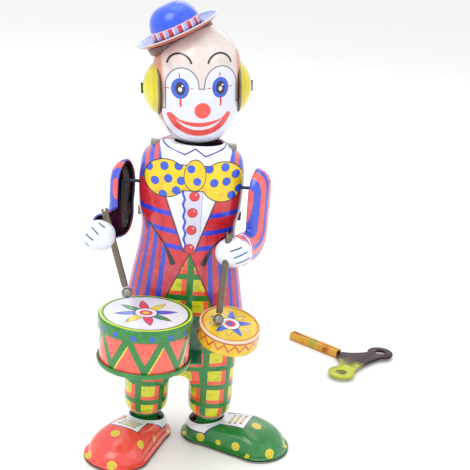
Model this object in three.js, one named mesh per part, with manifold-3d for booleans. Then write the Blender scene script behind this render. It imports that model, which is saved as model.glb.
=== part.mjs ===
// A wind-up tinplate clown that beats two drums, with its loose winding key laid beside it.
// Millimetres, +Z up, +X to the onlooker's right, -Y towards the onlooker. The toy is drawn about its own
// centre line, on the floor between its shoes, and the whole group is then moved by "stand" so that the
// origin is the middle of the footprint of toy and key. "Left" and "right" are the clown's own.
import * as THREE from "three";
import { mergeVertices } from "three/addons/utils/BufferGeometryUtils.js";
import Module from "manifold-3d";

const wasm = await Module();
wasm.setup();

// ---- Driving dimensions -------------------------------------------------------------------------------
const stand = [-40.7, -34.75]; // where the toy's centre line stands in the part's frame, X and Y
const tin = 0.7; // wall of the pressed tinplate shells
const plate = 0.8; // thickness of flat steel plates
const gap = 0.3; // clearance between pieces that touch
const running = 0.15; // radial clearance of a pin in its hole

// body shells: rows of [half width, half depth, height], hem to neck
const coatRows = [
  [29.2, 15.6, 60], [27.8, 15.2, 68], [25.0, 14.4, 84], [22.2, 13.4, 99], [21.4, 13.4, 109],
  [22.8, 14.6, 117], [23.4, 15.4, 126], [23.3, 15.2, 134], [22.0, 13.8, 140.6], [18.4, 12.6, 144.2],
  [15.6, 11.9, 146.2], [13.6, 11.6, 147.2],
];
const neckHole = 10.7; // radius of the hole in the coat that the head stands over
const headShift = 2.7; // how far the head and the neck hole are set to the onlooker's right
const bodySquareness = 2.35; // 2 is an ellipse, and more fills out the corners
const hipRows = [[25.6, 12.0, 34], [26.2, 12.8, 44], [26.5, 13.1, 54], [26.4, 13.1, 61.2]];
const legSpread = 15.3; // centre of a leg from the centre line
const legRows = [
  [5.8, 5.8, 1.2], [5.9, 5.9, 10.8], [9.8, 9.8, 16.4], [10.5, 11.0, 20], [10.5, 11.4, 30], [10.4, 11.6, 44],
];
const legBack = 1.5; // how far the legs stand behind the centre line
const crotchRadius = 4.7;
const crotchHeight = 36;
const waistHeight = 112; // the clockwork's side tabs come out through the coat here
const waistTab = 4.2;
const waistReach = 23.6;

// head, in its own upright frame
const headRows = [
  [8.4, 7.6, 147.6], [11.6, 10.8, 149.9], [14.8, 14.0, 153.6], [17.4, 16.8, 158.6], [18.8, 18.3, 165],
  [19.3, 18.8, 173], [19.0, 18.6, 181], [17.2, 17.0, 187.6], [12.6, 12.6, 193.6], [6.8, 6.8, 197.8],
  [0.5, 0.5, 199.6],
];
const headLean = -1.8; // degrees that the head is set aslant on the rocker
const headTurn = 7; // degrees that the face is turned to the onlooker's right
const puffRadius = 12;
const puffBase = 17.2; // distance of a hair puff's rim from the head's middle
const puffCrown = 23.8;
const puffHeight = 171;

// bowler hat, in the head's frame
const brimRadius = 18.8;
const crownRadius = 11.2;
const crownHeight = 12.2;
const hatPlace = [-7.8, -0.4, 194.1];
const hatTilt = -23;

// see-saw rocker, which carries the head and lifts the arms in turn
const rockPivot = 120;
const rockRest = -2.4; // degrees that the rocker leans at rest
const rockSwing = 4.8; // its whole travel
const rockPlane = -1; // middle of its thickness
const linkPlace = 13.7; // distance of the two lift links from the centre line
const linkPin = 0.7;

// arms and sticks
const axlePlace = [-5.5, 128.5]; // Y and Z of the line that both arms turn on
const axleRadius = 0.75;
const leverLength = 6.3; // the inner crank of each arm's wire
const armOffset = 28.5; // distance of an arm's open side from the centre line
const armTurn = 26; // degrees that both arms are turned to the onlooker's left
const armDepth = 6.8; // how far an arm's pressing bulges outwards
const shoulderRows = [[armDepth, 7.8, -10], [armDepth, 8.2, 0], [5.8, 6.8, 6.2], [2.2, 2.6, 9.4]];
const forearmRows = [[armDepth, 7.2, -1], [armDepth, 7.0, 9], [6.4, 6.7, 17]];
const elbowDrop = { right: 27, left: 34 }; // of an elbow's lowest point below the shoulder line
const forearmDrop = { right: 18.6, left: 25 }; // of a forearm's middle
const forearmDip = { right: 12, left: -6 }; // degrees that a forearm points down
const glovePlace = { right: [-37.4, -21.6, -22.4], left: [20.0, -21.7, -23.4] }; // from the shoulder line
const gloveRadii = { right: [6.8, 5.8, 6.6], left: [8.0, 5.6, 6.4] };
const gripPlace = { right: [-32.4, -20.6, -22.2], left: [17.0, -24.6, -22.2] };
const stickLength = 38.5;
const stickRadius = 1.45;
const stickBore = 0.9;
const stickSlit = 0.7;
const stickBall = 2.4;

// drums
const drumRadius = 20.5;
const drumRight = 4.7; // the bass drum's edge beside the small drum
const drumBack = -16.7; // and its edge next to the coat
const drumPlace = [drumRight - drumRadius, drumBack - drumRadius];
const drumHead = 79.2; // height of the drumhead
const drumFoot = 57.1;
const drumBand = 5.4;
const drumStrike = [-24.6, -25.4]; // where the right stick meets the drumhead
const tambourPlace = [20.6, -35.2, 75.6]; // middle of the small drum's face
const tambourRadius = 13.6;
const tambourDepth = 7.6;
const tambourLean = [12.4, 6]; // degrees forwards, and down to the onlooker's right
const tambourStrike = [-5.7, -2.2]; // where the left stick meets its face
const tongueHeight = 62; // of the bracket's tongue, which goes through the coat
const tongueWidth = 8;
const bracketFront = -23.8;
const bracketPlace = [0.6, 9.4]; // left and right edges of the bracket's upright

// shoes
const heelRadius = 10.4;
const toeRadius = 14.2;
const shoeReach = 26; // heel centre to toe centre
const shoeWelt = 1.7; // how far the sole's edge stands out
const ankleRadius = 8.6;
const heelHeight = 10.4;
const toeHeight = 13.4;
const rightShoe = { place: [-14.6, 2.4], turn: -26 };
const leftShoe = { place: [14.6, 3.4], turn: 68 };

// clockwork: plates across Y, arbors along Y
const frontFace = -6.5; // inner faces of the two plates
const backFace = 5;
const gearModule = 0.5;
const teeth = { great: 48, second: 12, secondWheel: 36, crank: 12, crankWheel: 30, fan: 10, ratchet: 16 };
const mainArbor = [0, 88]; // X and Z of each arbor
const above = ([x, z], wheel, pinion, toX) => // an arbor at toX whose pinion meshes with the wheel below it
  [toX, z + Math.sqrt(((wheel + pinion) * gearModule / 2) ** 2 - (toX - x) ** 2)];
const secondArbor = above(mainArbor, teeth.great, teeth.second, 20 * gearModule);
const crankArbor = above(secondArbor, teeth.secondWheel, teeth.crank, 0);
const fanArbor = above(crankArbor, teeth.crankWheel, teeth.fan, -18 * gearModule);
const arborRadius = 1.0;
const mainRadius = 1.9;
const pillarRadius = 1.2;
const pillars = {
  lower_left: [12, 80], lower_right: [-12, 80], upper_left: [7.4, 132.6], upper_right: [-7.4, 132.6],
};
const windingSquare = 2.6; // across the flats of the square that the key fits
const windingReach = 13.2;
const camThrow = 0.8;
const camRadius = 2.2;
const springRadius = 8.6;

// key
const keyPlace = [67, 125.5]; // open end of the tube, from the toy's centre line
const keyTurn = -42.5; // direction of the tube on the floor, degrees from +X
const keyTube = 35;
const keyReach = 16; // of the two eyes' line past the tube's end
const keyClearance = 0.1;
const keyWall = 0.9;
const keySeam = 0.7;
const keyHoleSpacing = 40;
const keyHoleRadius = 2.9;
const keyEarRadius = 7.5;
const keyPlate = 1.2;

// ---- Colours ------------------------------------------------------------------------------------------
const colour = (hex, roughness = 0.35, metalness = 0.0) =>
  new THREE.MeshStandardMaterial({ color: hex, roughness, metalness });
const paint = {
  skin: colour(0xe9dcd6), yellow: colour(0xe6c514), blue: colour(0x2f55c9), brim: colour(0x7f8fc4),
  coat: colour(0xc4424e), plaid: colour(0xc2b020), white: colour(0xeff2f7), green: colour(0x1f7a2f),
  coral: colour(0xee6459), brown: colour(0x6d3a2c), arm: colour(0xd4505a),
};
const metal = {
  steel: colour(0x9a9a96, 0.3, 1.0), dark: colour(0x2a1c22, 0.25, 0.8), brass: colour(0xb08d45, 0.35, 1.0),
  spring: colour(0x3d4350, 0.3, 1.0), zinc: colour(0xa8903c, 0.3, 1.0),
};

// ---- Making and cutting solids ------------------------------------------------------------------------
const degrees = THREE.MathUtils.degToRad;
const huge = 400;

// A closed three.js geometry as a manifold-3d solid.
function solid(geometry) {
  const bare = geometry.index ? geometry.toNonIndexed() : geometry.clone();
  for (const name of Object.keys(bare.attributes)) {
    if (name !== "position") bare.deleteAttribute(name);
  }
  const merged = mergeVertices(bare, 1e-4);
  return new wasm.Manifold(new wasm.Mesh({
    numProp: 3,
    vertProperties: merged.attributes.position.array,
    triVerts: new Uint32Array(merged.index.array),
  }));
}

function geometryOf(body) {
  const mesh = body.getMesh();
  const positions = new Float32Array(mesh.numVert * 3);
  for (let i = 0; i < mesh.numVert; i++) {
    positions.set(mesh.vertProperties.subarray(i * mesh.numProp, i * mesh.numProp + 3), i * 3);
  }
  const geometry = new THREE.BufferGeometry();
  geometry.setAttribute("position", new THREE.BufferAttribute(positions, 3));
  geometry.setIndex(new THREE.BufferAttribute(new Uint32Array(mesh.triVerts), 1));
  geometry.computeVertexNormals();
  return geometry;
}

const union = (...bodies) => bodies.reduce((all, one) => all.add(one));
const cut = (body, ...tools) => tools.reduce((left, tool) => left.subtract(tool), body);
const moved = (body, place, turn = [0, 0, 0]) => {
  const matrix = new THREE.Matrix4().makeRotationFromEuler(new THREE.Euler(...turn.map(degrees)));
  return solid(geometryOf(body).applyMatrix4(matrix.setPosition(...place)));
};

function mesh(name, body, material) {
  const made = new THREE.Mesh(geometryOf(body), material.clone());
  made.name = name;
  return made;
}

// A box given by its lowest and highest corner.
function block(low, high) {
  const size = high.map((v, i) => v - low[i]);
  const geometry = new THREE.BoxGeometry(...size);
  geometry.translate(...high.map((v, i) => (v + low[i]) / 2));
  return solid(geometry);
}

// A round bar along one axis, from one place to another on it. "at" gives the two other coordinates.
function bar(axis, at, from, to, radius, sides = 12) {
  const geometry = new THREE.CylinderGeometry(radius, radius, to - from, sides);
  geometry.translate(0, (from + to) / 2, 0);
  if (axis === "x") geometry.rotateZ(-Math.PI / 2).translate(0, at[0], at[1]);
  if (axis === "y") geometry.translate(at[0], 0, at[1]);
  if (axis === "z") geometry.rotateX(Math.PI / 2).translate(at[0], at[1], 0);
  return solid(geometry);
}

function ball(centre, radii, across = 16, down = 10) {
  const geometry = new THREE.SphereGeometry(1, across, down);
  geometry.scale(...radii).translate(...centre);
  return solid(geometry);
}

// A flat outline in X and Y, raised in Z.
function raised(shape, from, height, curveSegments = 10) {
  const geometry = new THREE.ExtrudeGeometry(shape, { depth: height, bevelEnabled: false, curveSegments });
  geometry.translate(0, 0, from);
  return solid(geometry);
}

// The same outline read as X and Z, and given a thickness along Y, starting at "from".
function upright(shape, from, thickness, curveSegments = 10) {
  const geometry = new THREE.ExtrudeGeometry(shape, { depth: thickness, bevelEnabled: false, curveSegments });
  geometry.rotateX(Math.PI / 2).translate(0, from + thickness, 0);
  return solid(geometry);
}

// A profile of [radius, height] points turned about Z. It starts and ends on the axis, or closes on itself.
function turned(points, sides = 32) {
  const lathe = (profile) =>
    solid(new THREE.LatheGeometry(profile.map(([r, z]) => new THREE.Vector2(r, z)), sides).rotateX(Math.PI / 2));
  const body = lathe(points);
  return body.volume() < 0 ? lathe([...points].reverse()) : body;
}

const power = (v, exponent) => Math.sign(v) * Math.abs(v) ** exponent;

// A closed body of oval sections. Rows of [half width, half depth, height] are joined by a smooth curve, and
// "inset" moves the surface inwards along its own slope, which cuts a wall of even thickness.
function oval(rows, { sides = 28, steps = 12, squareness = 2, inset = 0, openLow = 0, openHigh = 0 } = {}) {
  const curve = new THREE.CatmullRomCurve3(rows.map((row) => new THREE.Vector3(...row)), false, "centripetal");
  const levels = [];
  for (let i = 0; i <= steps; i++) {
    const at = curve.getPointAt(i / steps);
    const along = curve.getTangentAt(i / steps);
    const slope = Math.hypot(along.x, along.z);
    const step = (inset * along.z) / slope;
    levels.push([Math.max(0.2, at.x - step), Math.max(0.2, at.y - step), at.z + (inset * along.x) / slope]);
  }
  if (openLow) levels.unshift([levels[0][0], levels[0][1], levels[0][2] - openLow]);
  if (openHigh) levels.push([levels.at(-1)[0], levels.at(-1)[1], levels.at(-1)[2] + openHigh]);
  const last = levels.length - 1;
  const geometry = new THREE.CylinderGeometry(1, 1, last, sides, last);
  const points = geometry.attributes.position;
  for (let i = 0; i < points.count; i++) {
    const [width, depth, height] = levels[Math.round(points.getY(i) + last / 2)];
    const x = width * power(points.getX(i), 2 / squareness);
    const y = depth * power(-points.getZ(i), 2 / squareness);
    points.setXYZ(i, x, y, height);
  }
  return solid(geometry);
}

const beyond = (body, y) => body.intersect(block([-huge, y, -huge], [huge, huge, huge]));
const before = (body, y) => body.intersect(block([-huge, -huge, -huge], [huge, y, huge]));

// A straight-toothed gear as an outline about the origin, with one tooth pointing at the angle "phase".
function gearShape(count, phase) {
  const pitch = (gearModule * count) / 2;
  const [tip, foot] = [pitch + 0.8 * gearModule, pitch - 1.3 * gearModule];
  const corners = [[-0.1, tip], [0.1, tip], [0.5, foot]];
  const points = [];
  for (let i = 0; i < count; i++) {
    for (const [share, r] of corners) {
      const angle = ((i + share) * 2 * Math.PI) / count + phase;
      points.push(new THREE.Vector2(r * Math.cos(angle), r * Math.sin(angle)));
    }
  }
  return new THREE.Shape(points);
}

function gear(count, [x, z], from, thickness, phase, bore) {
  const body = moved(upright(gearShape(count, phase), from, thickness), [x, 0, z]);
  return bore ? cut(body, bar("y", [x, z], from - 1, from + thickness + 1, bore)) : body;
}

const facing = (from, to) => Math.atan2(to[1] - from[1], to[0] - from[0]);
const meshing = (from, to, count) => facing(from, to) + Math.PI + Math.PI / count; // a gap faces the wheel

const root = new THREE.Group();
const toy = new THREE.Group();
toy.position.set(...stand, 0);
root.add(toy);

// ---- Coat: two pressed halves that meet at the sides ---------------------------------------------------
const coatOptions = { squareness: bodySquareness, steps: 9, sides: 22 };
const armHoles = bar("x", axlePlace, -huge, huge, axleRadius + 2 * running);
const waistSlots = block(
  [-huge, backFace - gap, waistHeight - waistTab / 2 - gap],
  [huge, backFace + plate + gap, waistHeight + waistTab / 2 + gap],
);
const coat = cut(
  oval(coatRows, coatOptions),
  oval(coatRows, { ...coatOptions, inset: tin, openLow: 3 }),
  bar("z", [headShift * 0.8, 0], 140, 160, neckHole, 24),
  armHoles,
  waistSlots,
);
const tongueMiddle = (bracketPlace[0] + bracketPlace[1]) / 2;
const tongueSlot = block(
  [tongueMiddle - tongueWidth / 2 - gap, -30, tongueHeight - gap],
  [tongueMiddle + tongueWidth / 2 + gap, 0, tongueHeight + plate + gap],
);
const keyWidth = windingSquare + 2 * (keyClearance + keyWall);
const keyHole = bar("y", mainArbor, 0, 40, keyWidth * 0.71 + 0.6, 16);

// Each shoulder tab rises from the back half and is bent down over the front half.
const tabPlace = 17.2;
const tabHeight = 146.0;
const shoulderTab = (side) => union(
  block([side * tabPlace - 1.8, 0.3, tabHeight - 2], [side * tabPlace + 1.8, 1.2, tabHeight + tin]),
  block([side * tabPlace - 1.8, -3.4, tabHeight], [side * tabPlace + 1.8, 1.2, tabHeight + tin]),
);
toy.add(mesh("coat_front", cut(before(coat, -gap / 2), tongueSlot), paint.coat));
const coatBack = union(cut(beyond(coat, gap / 2), keyHole), shoulderTab(-1), shoulderTab(1));
toy.add(mesh("coat_back", coatBack, paint.coat));

// ---- Trousers: two pressed halves, hips and both legs in one --------------------------------------------
function trouserBody(inset) {
  const openLow = inset ? 3 : 0;
  const legs = [-1, 1].map((side) =>
    moved(oval(legRows, { inset, openLow, steps: 6, sides: 14 }), [side * legSpread, legBack, 0]));
  const openHigh = inset ? 3 : 0;
  const hips = oval(hipRows, { squareness: bodySquareness, steps: 3, sides: 18, inset, openHigh });
  const arch = crotchRadius + inset;
  const parting = union(
    bar("y", [0, crotchHeight - crotchRadius], -40, 40, arch, 16),
    block([-arch, -40, 20], [arch, 40, crotchHeight - crotchRadius]),
  );
  return cut(union(hips, ...legs), parting);
}

const trousers = cut(trouserBody(0), trouserBody(tin));
toy.add(mesh("trousers_front", before(trousers, -gap / 2), paint.plaid));
toy.add(mesh("trousers_back", beyond(trousers, gap / 2), paint.plaid));

// ---- Shoes: a domed upper on a flat sole plate ----------------------------------------------------------
function shoeOutline(grow) {
  // the heel's centre is at the origin, and the toe points to -Y
  const [heel, toe] = [heelRadius + grow, toeRadius + grow];
  const lean = Math.asin((toe - heel) / shoeReach);
  const shape = new THREE.Shape();
  shape.absarc(0, 0, heel, -lean, Math.PI + lean, false);
  shape.absarc(0, -shoeReach, toe, Math.PI + lean, 2 * Math.PI - lean, false);
  shape.closePath();
  return shape;
}

const weltLow = plate + gap;

// A dome over the outline: round at the toe, steep-sided at the heel.
function shoeDome(inset) {
  const [columns, rings] = [18, 10];
  const outline = shoeOutline(-inset).getSpacedPoints(columns);
  const middle = -shoeReach / 2;
  const geometry = new THREE.SphereGeometry(1, columns, rings);
  const [points, uv] = [geometry.attributes.position, geometry.attributes.uv];
  for (let i = 0; i < points.count; i++) {
    const rise = (uv.getY(i) - 0.5) * Math.PI;
    const edge = outline[(Math.round(uv.getX(i) * columns) + columns) % columns];
    const out = Math.max(0, Math.cos(rise)) ** 0.8;
    const [x, y] = [edge.x * out, middle + (edge.y - middle) * out];
    const toward = THREE.MathUtils.smoothstep(-y, 0.2 * shoeReach, shoeReach);
    const squareness = THREE.MathUtils.lerp(4.6, 2.2, toward);
    const crown = THREE.MathUtils.lerp(heelHeight, toeHeight, toward) - weltLow - inset;
    const up = crown * Math.max(0, 1 - out ** squareness) ** (1 / squareness);
    points.setXYZ(i, x, y, rise > 0 ? weltLow + up : weltLow - (inset ? 3 : 0));
  }
  const body = solid(geometry);
  return body.volume() < 0 ? solid(flipped(geometry)) : body;
}

function flipped(geometry) {
  const index = geometry.index.array;
  for (let i = 0; i < index.length; i += 3) [index[i], index[i + 1]] = [index[i + 1], index[i]];
  return geometry;
}

function shoe(side, { place, turn }, upperPaint) {
  const welt = cut(raised(shoeOutline(shoeWelt), weltLow, plate, 8), raised(shoeOutline(-tin / 2), 0, 5, 8));
  const ankle = bar("z", [0, 0], weltLow + plate, 40, ankleRadius, 22);
  const group = new THREE.Group();
  group.add(mesh(side + "_shoe", union(cut(shoeDome(0), shoeDome(tin), ankle), welt), upperPaint));
  group.add(mesh(side + "_sole", raised(shoeOutline(shoeWelt), 0, plate, 8), metal.steel));
  group.position.set(...place, 0);
  group.rotation.z = degrees(turn);
  toy.add(group);
}

shoe("right", rightShoe, paint.coral);
shoe("left", leftShoe, paint.green);

// ---- Rocker, head and hat: one swinging body on the rocker's pin ------------------------------------------
const rocking = new THREE.Group();
rocking.position.set(0, 0, rockPivot);
rocking.rotation.y = degrees(rockRest);
toy.add(rocking);

const neckHeight = 149.8;

function rocker() {
  const [low, high] = [rockPlane - plate / 2, rockPlane + plate / 2];
  const flat = (x0, z0, x1, z1) => block([x0, low, z0], [x1, high, z1]);
  const forkGap = camRadius + 2 * camThrow + gap;
  const forkLow = crankArbor[1] - rockPivot - camRadius;
  const forkHigh = crankArbor[1] - rockPivot + camRadius + camThrow + 4 * gap;
  const body = union(
    flat(-linkPlace - 1.6, -1.5, linkPlace + 1.6, 1.5),
    flat(-1.8, 0, 1.8, neckHeight + 2 - rockPivot),
    flat(-1.6, forkHigh + 1, 1.6, 0),
    flat(-forkGap - 1.6, forkHigh, forkGap + 1.6, forkHigh + 2),
    flat(-forkGap - 1.6, forkLow, -forkGap, forkHigh + 1),
    flat(forkGap, forkLow, forkGap + 1.6, forkHigh + 1),
    bar("y", [0, 0], low, high, 3),
    bar("y", [-linkPlace, 0], low, 1.8, linkPin),
    bar("y", [linkPlace, 0], low, 1.8, linkPin),
  );
  return cut(body, bar("y", [0, 0], -10, 10, arborRadius + running));
}

rocking.add(mesh("rocker", rocker(), metal.steel));

const neck = new THREE.Group();
neck.position.set(headShift, 0, neckHeight - rockPivot);
neck.rotation.y = degrees(headLean);
rocking.add(neck);
const head = new THREE.Group();
head.position.z = -neckHeight;
head.rotation.z = degrees(headTurn);
neck.add(head);

const headOptions = { steps: 9, sides: 22 };
const headShell = cut(oval(headRows, headOptions), oval(headRows, { ...headOptions, inset: tin, openLow: 3 }));
const clearHead = oval(headRows, { ...headOptions, inset: -gap });
head.add(mesh("face_shell", before(headShell, -gap / 2), paint.skin));
head.add(mesh("rear_head_shell", beyond(headShell, gap / 2), paint.skin));

const neckPlate = bar("z", [0, 0], neckHeight, neckHeight + plate, 8.8, 20);
head.add(mesh("neck_plate", cut(neckPlate, bar("z", [-headShift, 0], 140, 160, 2.8, 12)), metal.steel));

for (const [name, side] of [["right", -1], ["left", 1]]) {
  const rise = puffCrown - puffBase;
  const radius = (puffRadius ** 2 + rise ** 2) / (2 * rise);
  const centre = [side * (puffCrown - radius), 0, puffHeight];
  const dish = cut(ball(centre, Array(3).fill(radius), 18, 12), ball(centre, Array(3).fill(radius - tin), 18, 12));
  const outward = side > 0 ? block([puffBase, -30, 0], [60, 30, 300]) : block([-60, -30, 0], [-puffBase, 30, 300]);
  head.add(mesh(name + "_hair_puff", cut(dish.intersect(outward), clearHead), paint.yellow));
  const tab = [side * (puffCrown + gap), side * (puffCrown + gap + plate)].sort((a, b) => a - b);
  const tabBody = block([tab[0], -0.7, puffHeight - 2.3], [tab[1], 0.7, puffHeight + 2.3]);
  head.add(mesh(name + "_hair_tab", tabBody, metal.dark));
}

const hat = new THREE.Group();
hat.position.set(...hatPlace);
hat.rotation.y = degrees(hatTilt);
head.add(hat);

function crown() {
  const wall = (inset) => {
    const points = [];
    for (let i = 0; i <= 6; i++) {
      const angle = (i / 6) * (Math.PI / 2);
      const height = tin + gap + (crownHeight - inset) * Math.sin(angle) ** 0.85;
      points.push([i < 6 ? (crownRadius - inset) * Math.cos(angle) ** 0.7 : 0, height]);
    }
    return points;
  };
  return turned([...wall(tin).reverse(), ...wall(0)], 20);
}

const headInHat = moved(moved(clearHead, hatPlace.map((v) => -v)), [0, 0, 0], [0, -hatTilt, 0]);
const brimHole = crownRadius - 0.6;
const brimProfile = [
  [brimHole, 0], [brimRadius - 3, -0.1], [brimRadius - 0.9, 0.6], [brimRadius, 1.7], [brimRadius - 0.5, 2.1],
  [brimRadius - 1.4, 1.3], [brimRadius - 3.2, tin], [brimHole, tin], [brimHole, 0],
];
hat.add(mesh("hat_crown", cut(crown(), headInHat), paint.blue));
hat.add(mesh("hat_brim", cut(turned(brimProfile, 26), headInHat), paint.brim));
const seatRadius = 15.2;
const seatLow = -4;
const seat = turned([
  [seatRadius - tin, -gap], [seatRadius - tin - 0.4, seatLow], [seatRadius - 0.4, seatLow], [seatRadius, -gap],
  [seatRadius - tin, -gap],
], 22);
hat.add(mesh("hat_seat_ring", cut(seat, headInHat), paint.brown));

// ---- Drums ---------------------------------------------------------------------------------------------
const shellRadius = drumRadius - tin - gap;
const drumAt = (body) => moved(body, [...drumPlace, 0]);
const cup = (radius, top, low, sides) => turned([
  [0, top], [radius, top], [radius, low], [radius - tin, low], [radius - tin, top - tin], [0, top - tin],
], sides);
toy.add(mesh("drum_cap", drumAt(cup(drumRadius, drumHead, drumHead - drumBand, 30)), paint.green));
toy.add(mesh("drum_shell", drumAt(turned([
  [shellRadius, drumFoot + tin + gap], [shellRadius, drumHead - tin - gap],
  [shellRadius - tin, drumHead - tin - gap], [shellRadius - tin, drumFoot + tin + gap],
  [shellRadius, drumFoot + tin + gap],
], 30)), paint.coral));
toy.add(mesh("drum_pan", drumAt(turned([
  [0, drumFoot], [drumRadius, drumFoot], [drumRadius, drumFoot + 2.4], [drumRadius - tin, drumFoot + 2.4],
  [drumRadius - tin, drumFoot + tin], [0, drumFoot + tin],
], 30)), paint.green));

const tambour = new THREE.Group();
tambour.position.set(...tambourPlace);
tambour.rotation.set(degrees(tambourLean[0]), degrees(tambourLean[1]), 0);
toy.add(tambour);
tambour.add(mesh("small_drum_cap", cup(tambourRadius, 0, -tambourDepth, 24), paint.yellow));
const panRadius = tambourRadius - tin - gap;
const panLow = -tambourDepth + 0.2;
tambour.add(mesh("small_drum_pan", turned([
  [0, panLow], [panRadius, panLow], [panRadius, panLow + 3], [panRadius - tin, panLow + 3],
  [panRadius - tin, panLow + tin], [0, panLow + tin],
], 24), paint.yellow));

// One folded sheet holds both drums: a tongue through the coat, an upright, and a foot under each drum.
const lean = tambourLean.map(degrees);
tambour.updateMatrix();
const [uprightLeft, uprightRight] = bracketPlace;
const footHigh = drumFoot - gap;
const smallFootTop = -tambourDepth - gap;
const smallFoot = solid(geometryOf(block([-12.4, -3, smallFootTop - plate], [-6, 12.4, smallFootTop]))
  .applyMatrix4(tambour.matrix));
const bracket = union(
  block(
    [tongueMiddle - tongueWidth / 2, bracketFront, tongueHeight],
    [tongueMiddle + tongueWidth / 2, -11, tongueHeight + plate],
  ),
  block([uprightLeft, bracketFront, footHigh - plate], [uprightRight, bracketFront + plate, 73]),
  block([drumPlace[0] + 4, drumPlace[1], footHigh - plate], [uprightRight, bracketFront + plate, footHigh]),
  smallFoot,
);
toy.add(mesh("drum_bracket", bracket, paint.green));

// ---- Arms ------------------------------------------------------------------------------------------------
const armSwing = (rockSwing * linkPlace) / leverLength;
const [axleY, axleZ] = axlePlace;

// Both arms are drawn as they are when the stick strikes, about the shoulder line.
function armBody(name, inset) {
  const low = -elbowDrop[name];
  const elbowRows = [[2.6, 2.6, low], [5.8, 6.2, low + 2.4], [armDepth, 7.6, low + 8.6]];
  const upper = oval([...elbowRows, ...shoulderRows], { inset, steps: 7, sides: 14 });
  const fore = oval(forearmRows, { inset, steps: 2, sides: 14, openHigh: inset > 0 ? 3 : 0 });
  return union(upper, moved(fore, [0, 0, -forearmDrop[name]], [90 + forearmDip[name], 0, 0]));
}

function strikePoint(name) {
  if (name === "right") return new THREE.Vector3(...drumStrike, drumHead + gap + stickBall);
  return new THREE.Vector3(...tambourStrike, gap + stickBall).applyMatrix4(tambour.matrix);
}

function arm(name, side) {
  const swinging = new THREE.Group();
  swinging.position.set(0, axleY, axleZ);
  swinging.rotation.x = name === "right" ? -degrees(armSwing) : 0;
  toy.add(swinging);

  const sheet = new THREE.Group();
  sheet.position.set(side * armOffset, 0, 0);
  sheet.rotation.z = -degrees(armTurn);
  swinging.add(sheet);
  const outer = side > 0 ? block([0, -60, -60], [60, 60, 60]) : block([-60, -60, -60], [0, 60, 60]);
  sheet.add(mesh(name + "_arm", cut(armBody(name, 0), armBody(name, tin)).intersect(outer), paint.arm));

  const strike = strikePoint(name).sub(new THREE.Vector3(0, axleY, axleZ));
  const along = new THREE.Vector3(...gripPlace[name]).sub(strike).normalize();
  const upward = new THREE.Quaternion().setFromUnitVectors(new THREE.Vector3(0, 0, 1), along);
  const start = stickBall + gap;
  const tube = cut(
    bar("z", [0, 0], start, stickLength, stickRadius, 12),
    bar("z", [0, 0], start - 1, stickLength + 1, stickBore, 12),
    block([-stickSlit / 2, 0, start - 1], [stickSlit / 2, 3, stickLength + 1]),
  );
  const knob = ball([0, 0, 0], [stickBall, stickBall, stickBall], 12, 8);
  for (const [part, body] of [["_stick", tube], ["_stick_ball", knob]]) {
    const piece = mesh(name + part, body, metal.steel);
    piece.position.copy(strike);
    piece.quaternion.copy(upward);
    swinging.add(piece);
  }

  const grip = bar("z", [0, 0], 0, 80, stickRadius + gap, 12);
  const gripHole = solid(geometryOf(grip).applyQuaternion(upward).translate(...strike));
  const clearArm = moved(armBody(name, -gap), [side * armOffset, 0, 0], [0, 0, -armTurn]);
  const fist = cut(ball(glovePlace[name], gloveRadii[name], 12, 9), clearArm, gripHole);
  const glove = fist.decompose().sort((a, b) => b.volume() - a.volume())[0];
  swinging.add(mesh(name + "_glove", glove, paint.white));

  // The wire: axle, inner crank with its pin, and the outer tail that lies inside the arm.
  const crankAngle = degrees(armSwing / 2);
  const crankEnd = [leverLength * Math.cos(crankAngle), leverLength * Math.sin(crankAngle)];
  const crankPlace = side * (linkPlace - 1.45);
  const span = (a, b) => [Math.min(a, b), Math.max(a, b)];
  const crank = moved(bar("z", [0, 0], 0, leverLength, axleRadius, 10), [crankPlace, 0, 0],
    [-90 + armSwing / 2, 0, 0]);
  const wire = union(
    bar("x", [0, 0], ...span(side * 8.8, side * (armOffset + 2)), axleRadius, 10),
    crank,
    bar("x", crankEnd, ...span(crankPlace, side * (linkPlace + 1.3)), linkPin, 10),
    bar("z", [side * (armOffset + 2), 0], -8, 0, axleRadius, 10),
  );
  swinging.add(mesh(name + "_shoulder_wire", wire, metal.steel));
}

arm("right", -1);
arm("left", 1);

// ---- Lift links: from the rocker's ends to the shoulder cranks --------------------------------------------
function link(name, side) {
  const rise = Math.sin(degrees(armSwing / 2)) * leverLength;
  const reach = Math.cos(degrees(armSwing / 2)) * leverLength;
  const lean = degrees(rockRest);
  const lowPin = [side * linkPlace * Math.cos(lean), rockPivot - side * linkPlace * Math.sin(lean)];
  const highPin = [axleY + reach, axleZ + side * rise];
  const eye = linkPin + gap;
  const middle = (lowPin[1] + highPin[1]) / 2;
  const [x, y] = [side * linkPlace, highPin[0]];
  const body = union(
    block([x - 1.9, y - plate / 2, lowPin[1] - 1.9], [x + 1.9, y + plate / 2, middle + plate]),
    block([x - plate / 2, y - 1.9, middle], [x + plate / 2, y + 1.9, highPin[1] + 1.9]),
  );
  const eyes = [bar("y", lowPin, -10, 10, eye, 12), bar("x", highPin, -huge, huge, eye, 12)];
  toy.add(mesh(name + "_lift_link", cut(body, ...eyes), metal.steel));
}

link("right", -1);
link("left", 1);

// ---- Clockwork -------------------------------------------------------------------------------------------
function plateShape() {
  const shape = new THREE.Shape();
  const half = [
    [15, 75], [15, 113], [10.2, 117], [10.2, 135.2],
  ];
  shape.moveTo(-half[0][0], half[0][1]);
  for (const [x, z] of half) shape.lineTo(x, z);
  for (const [x, z] of [...half].reverse()) shape.lineTo(-x, z);
  return shape;
}

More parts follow.
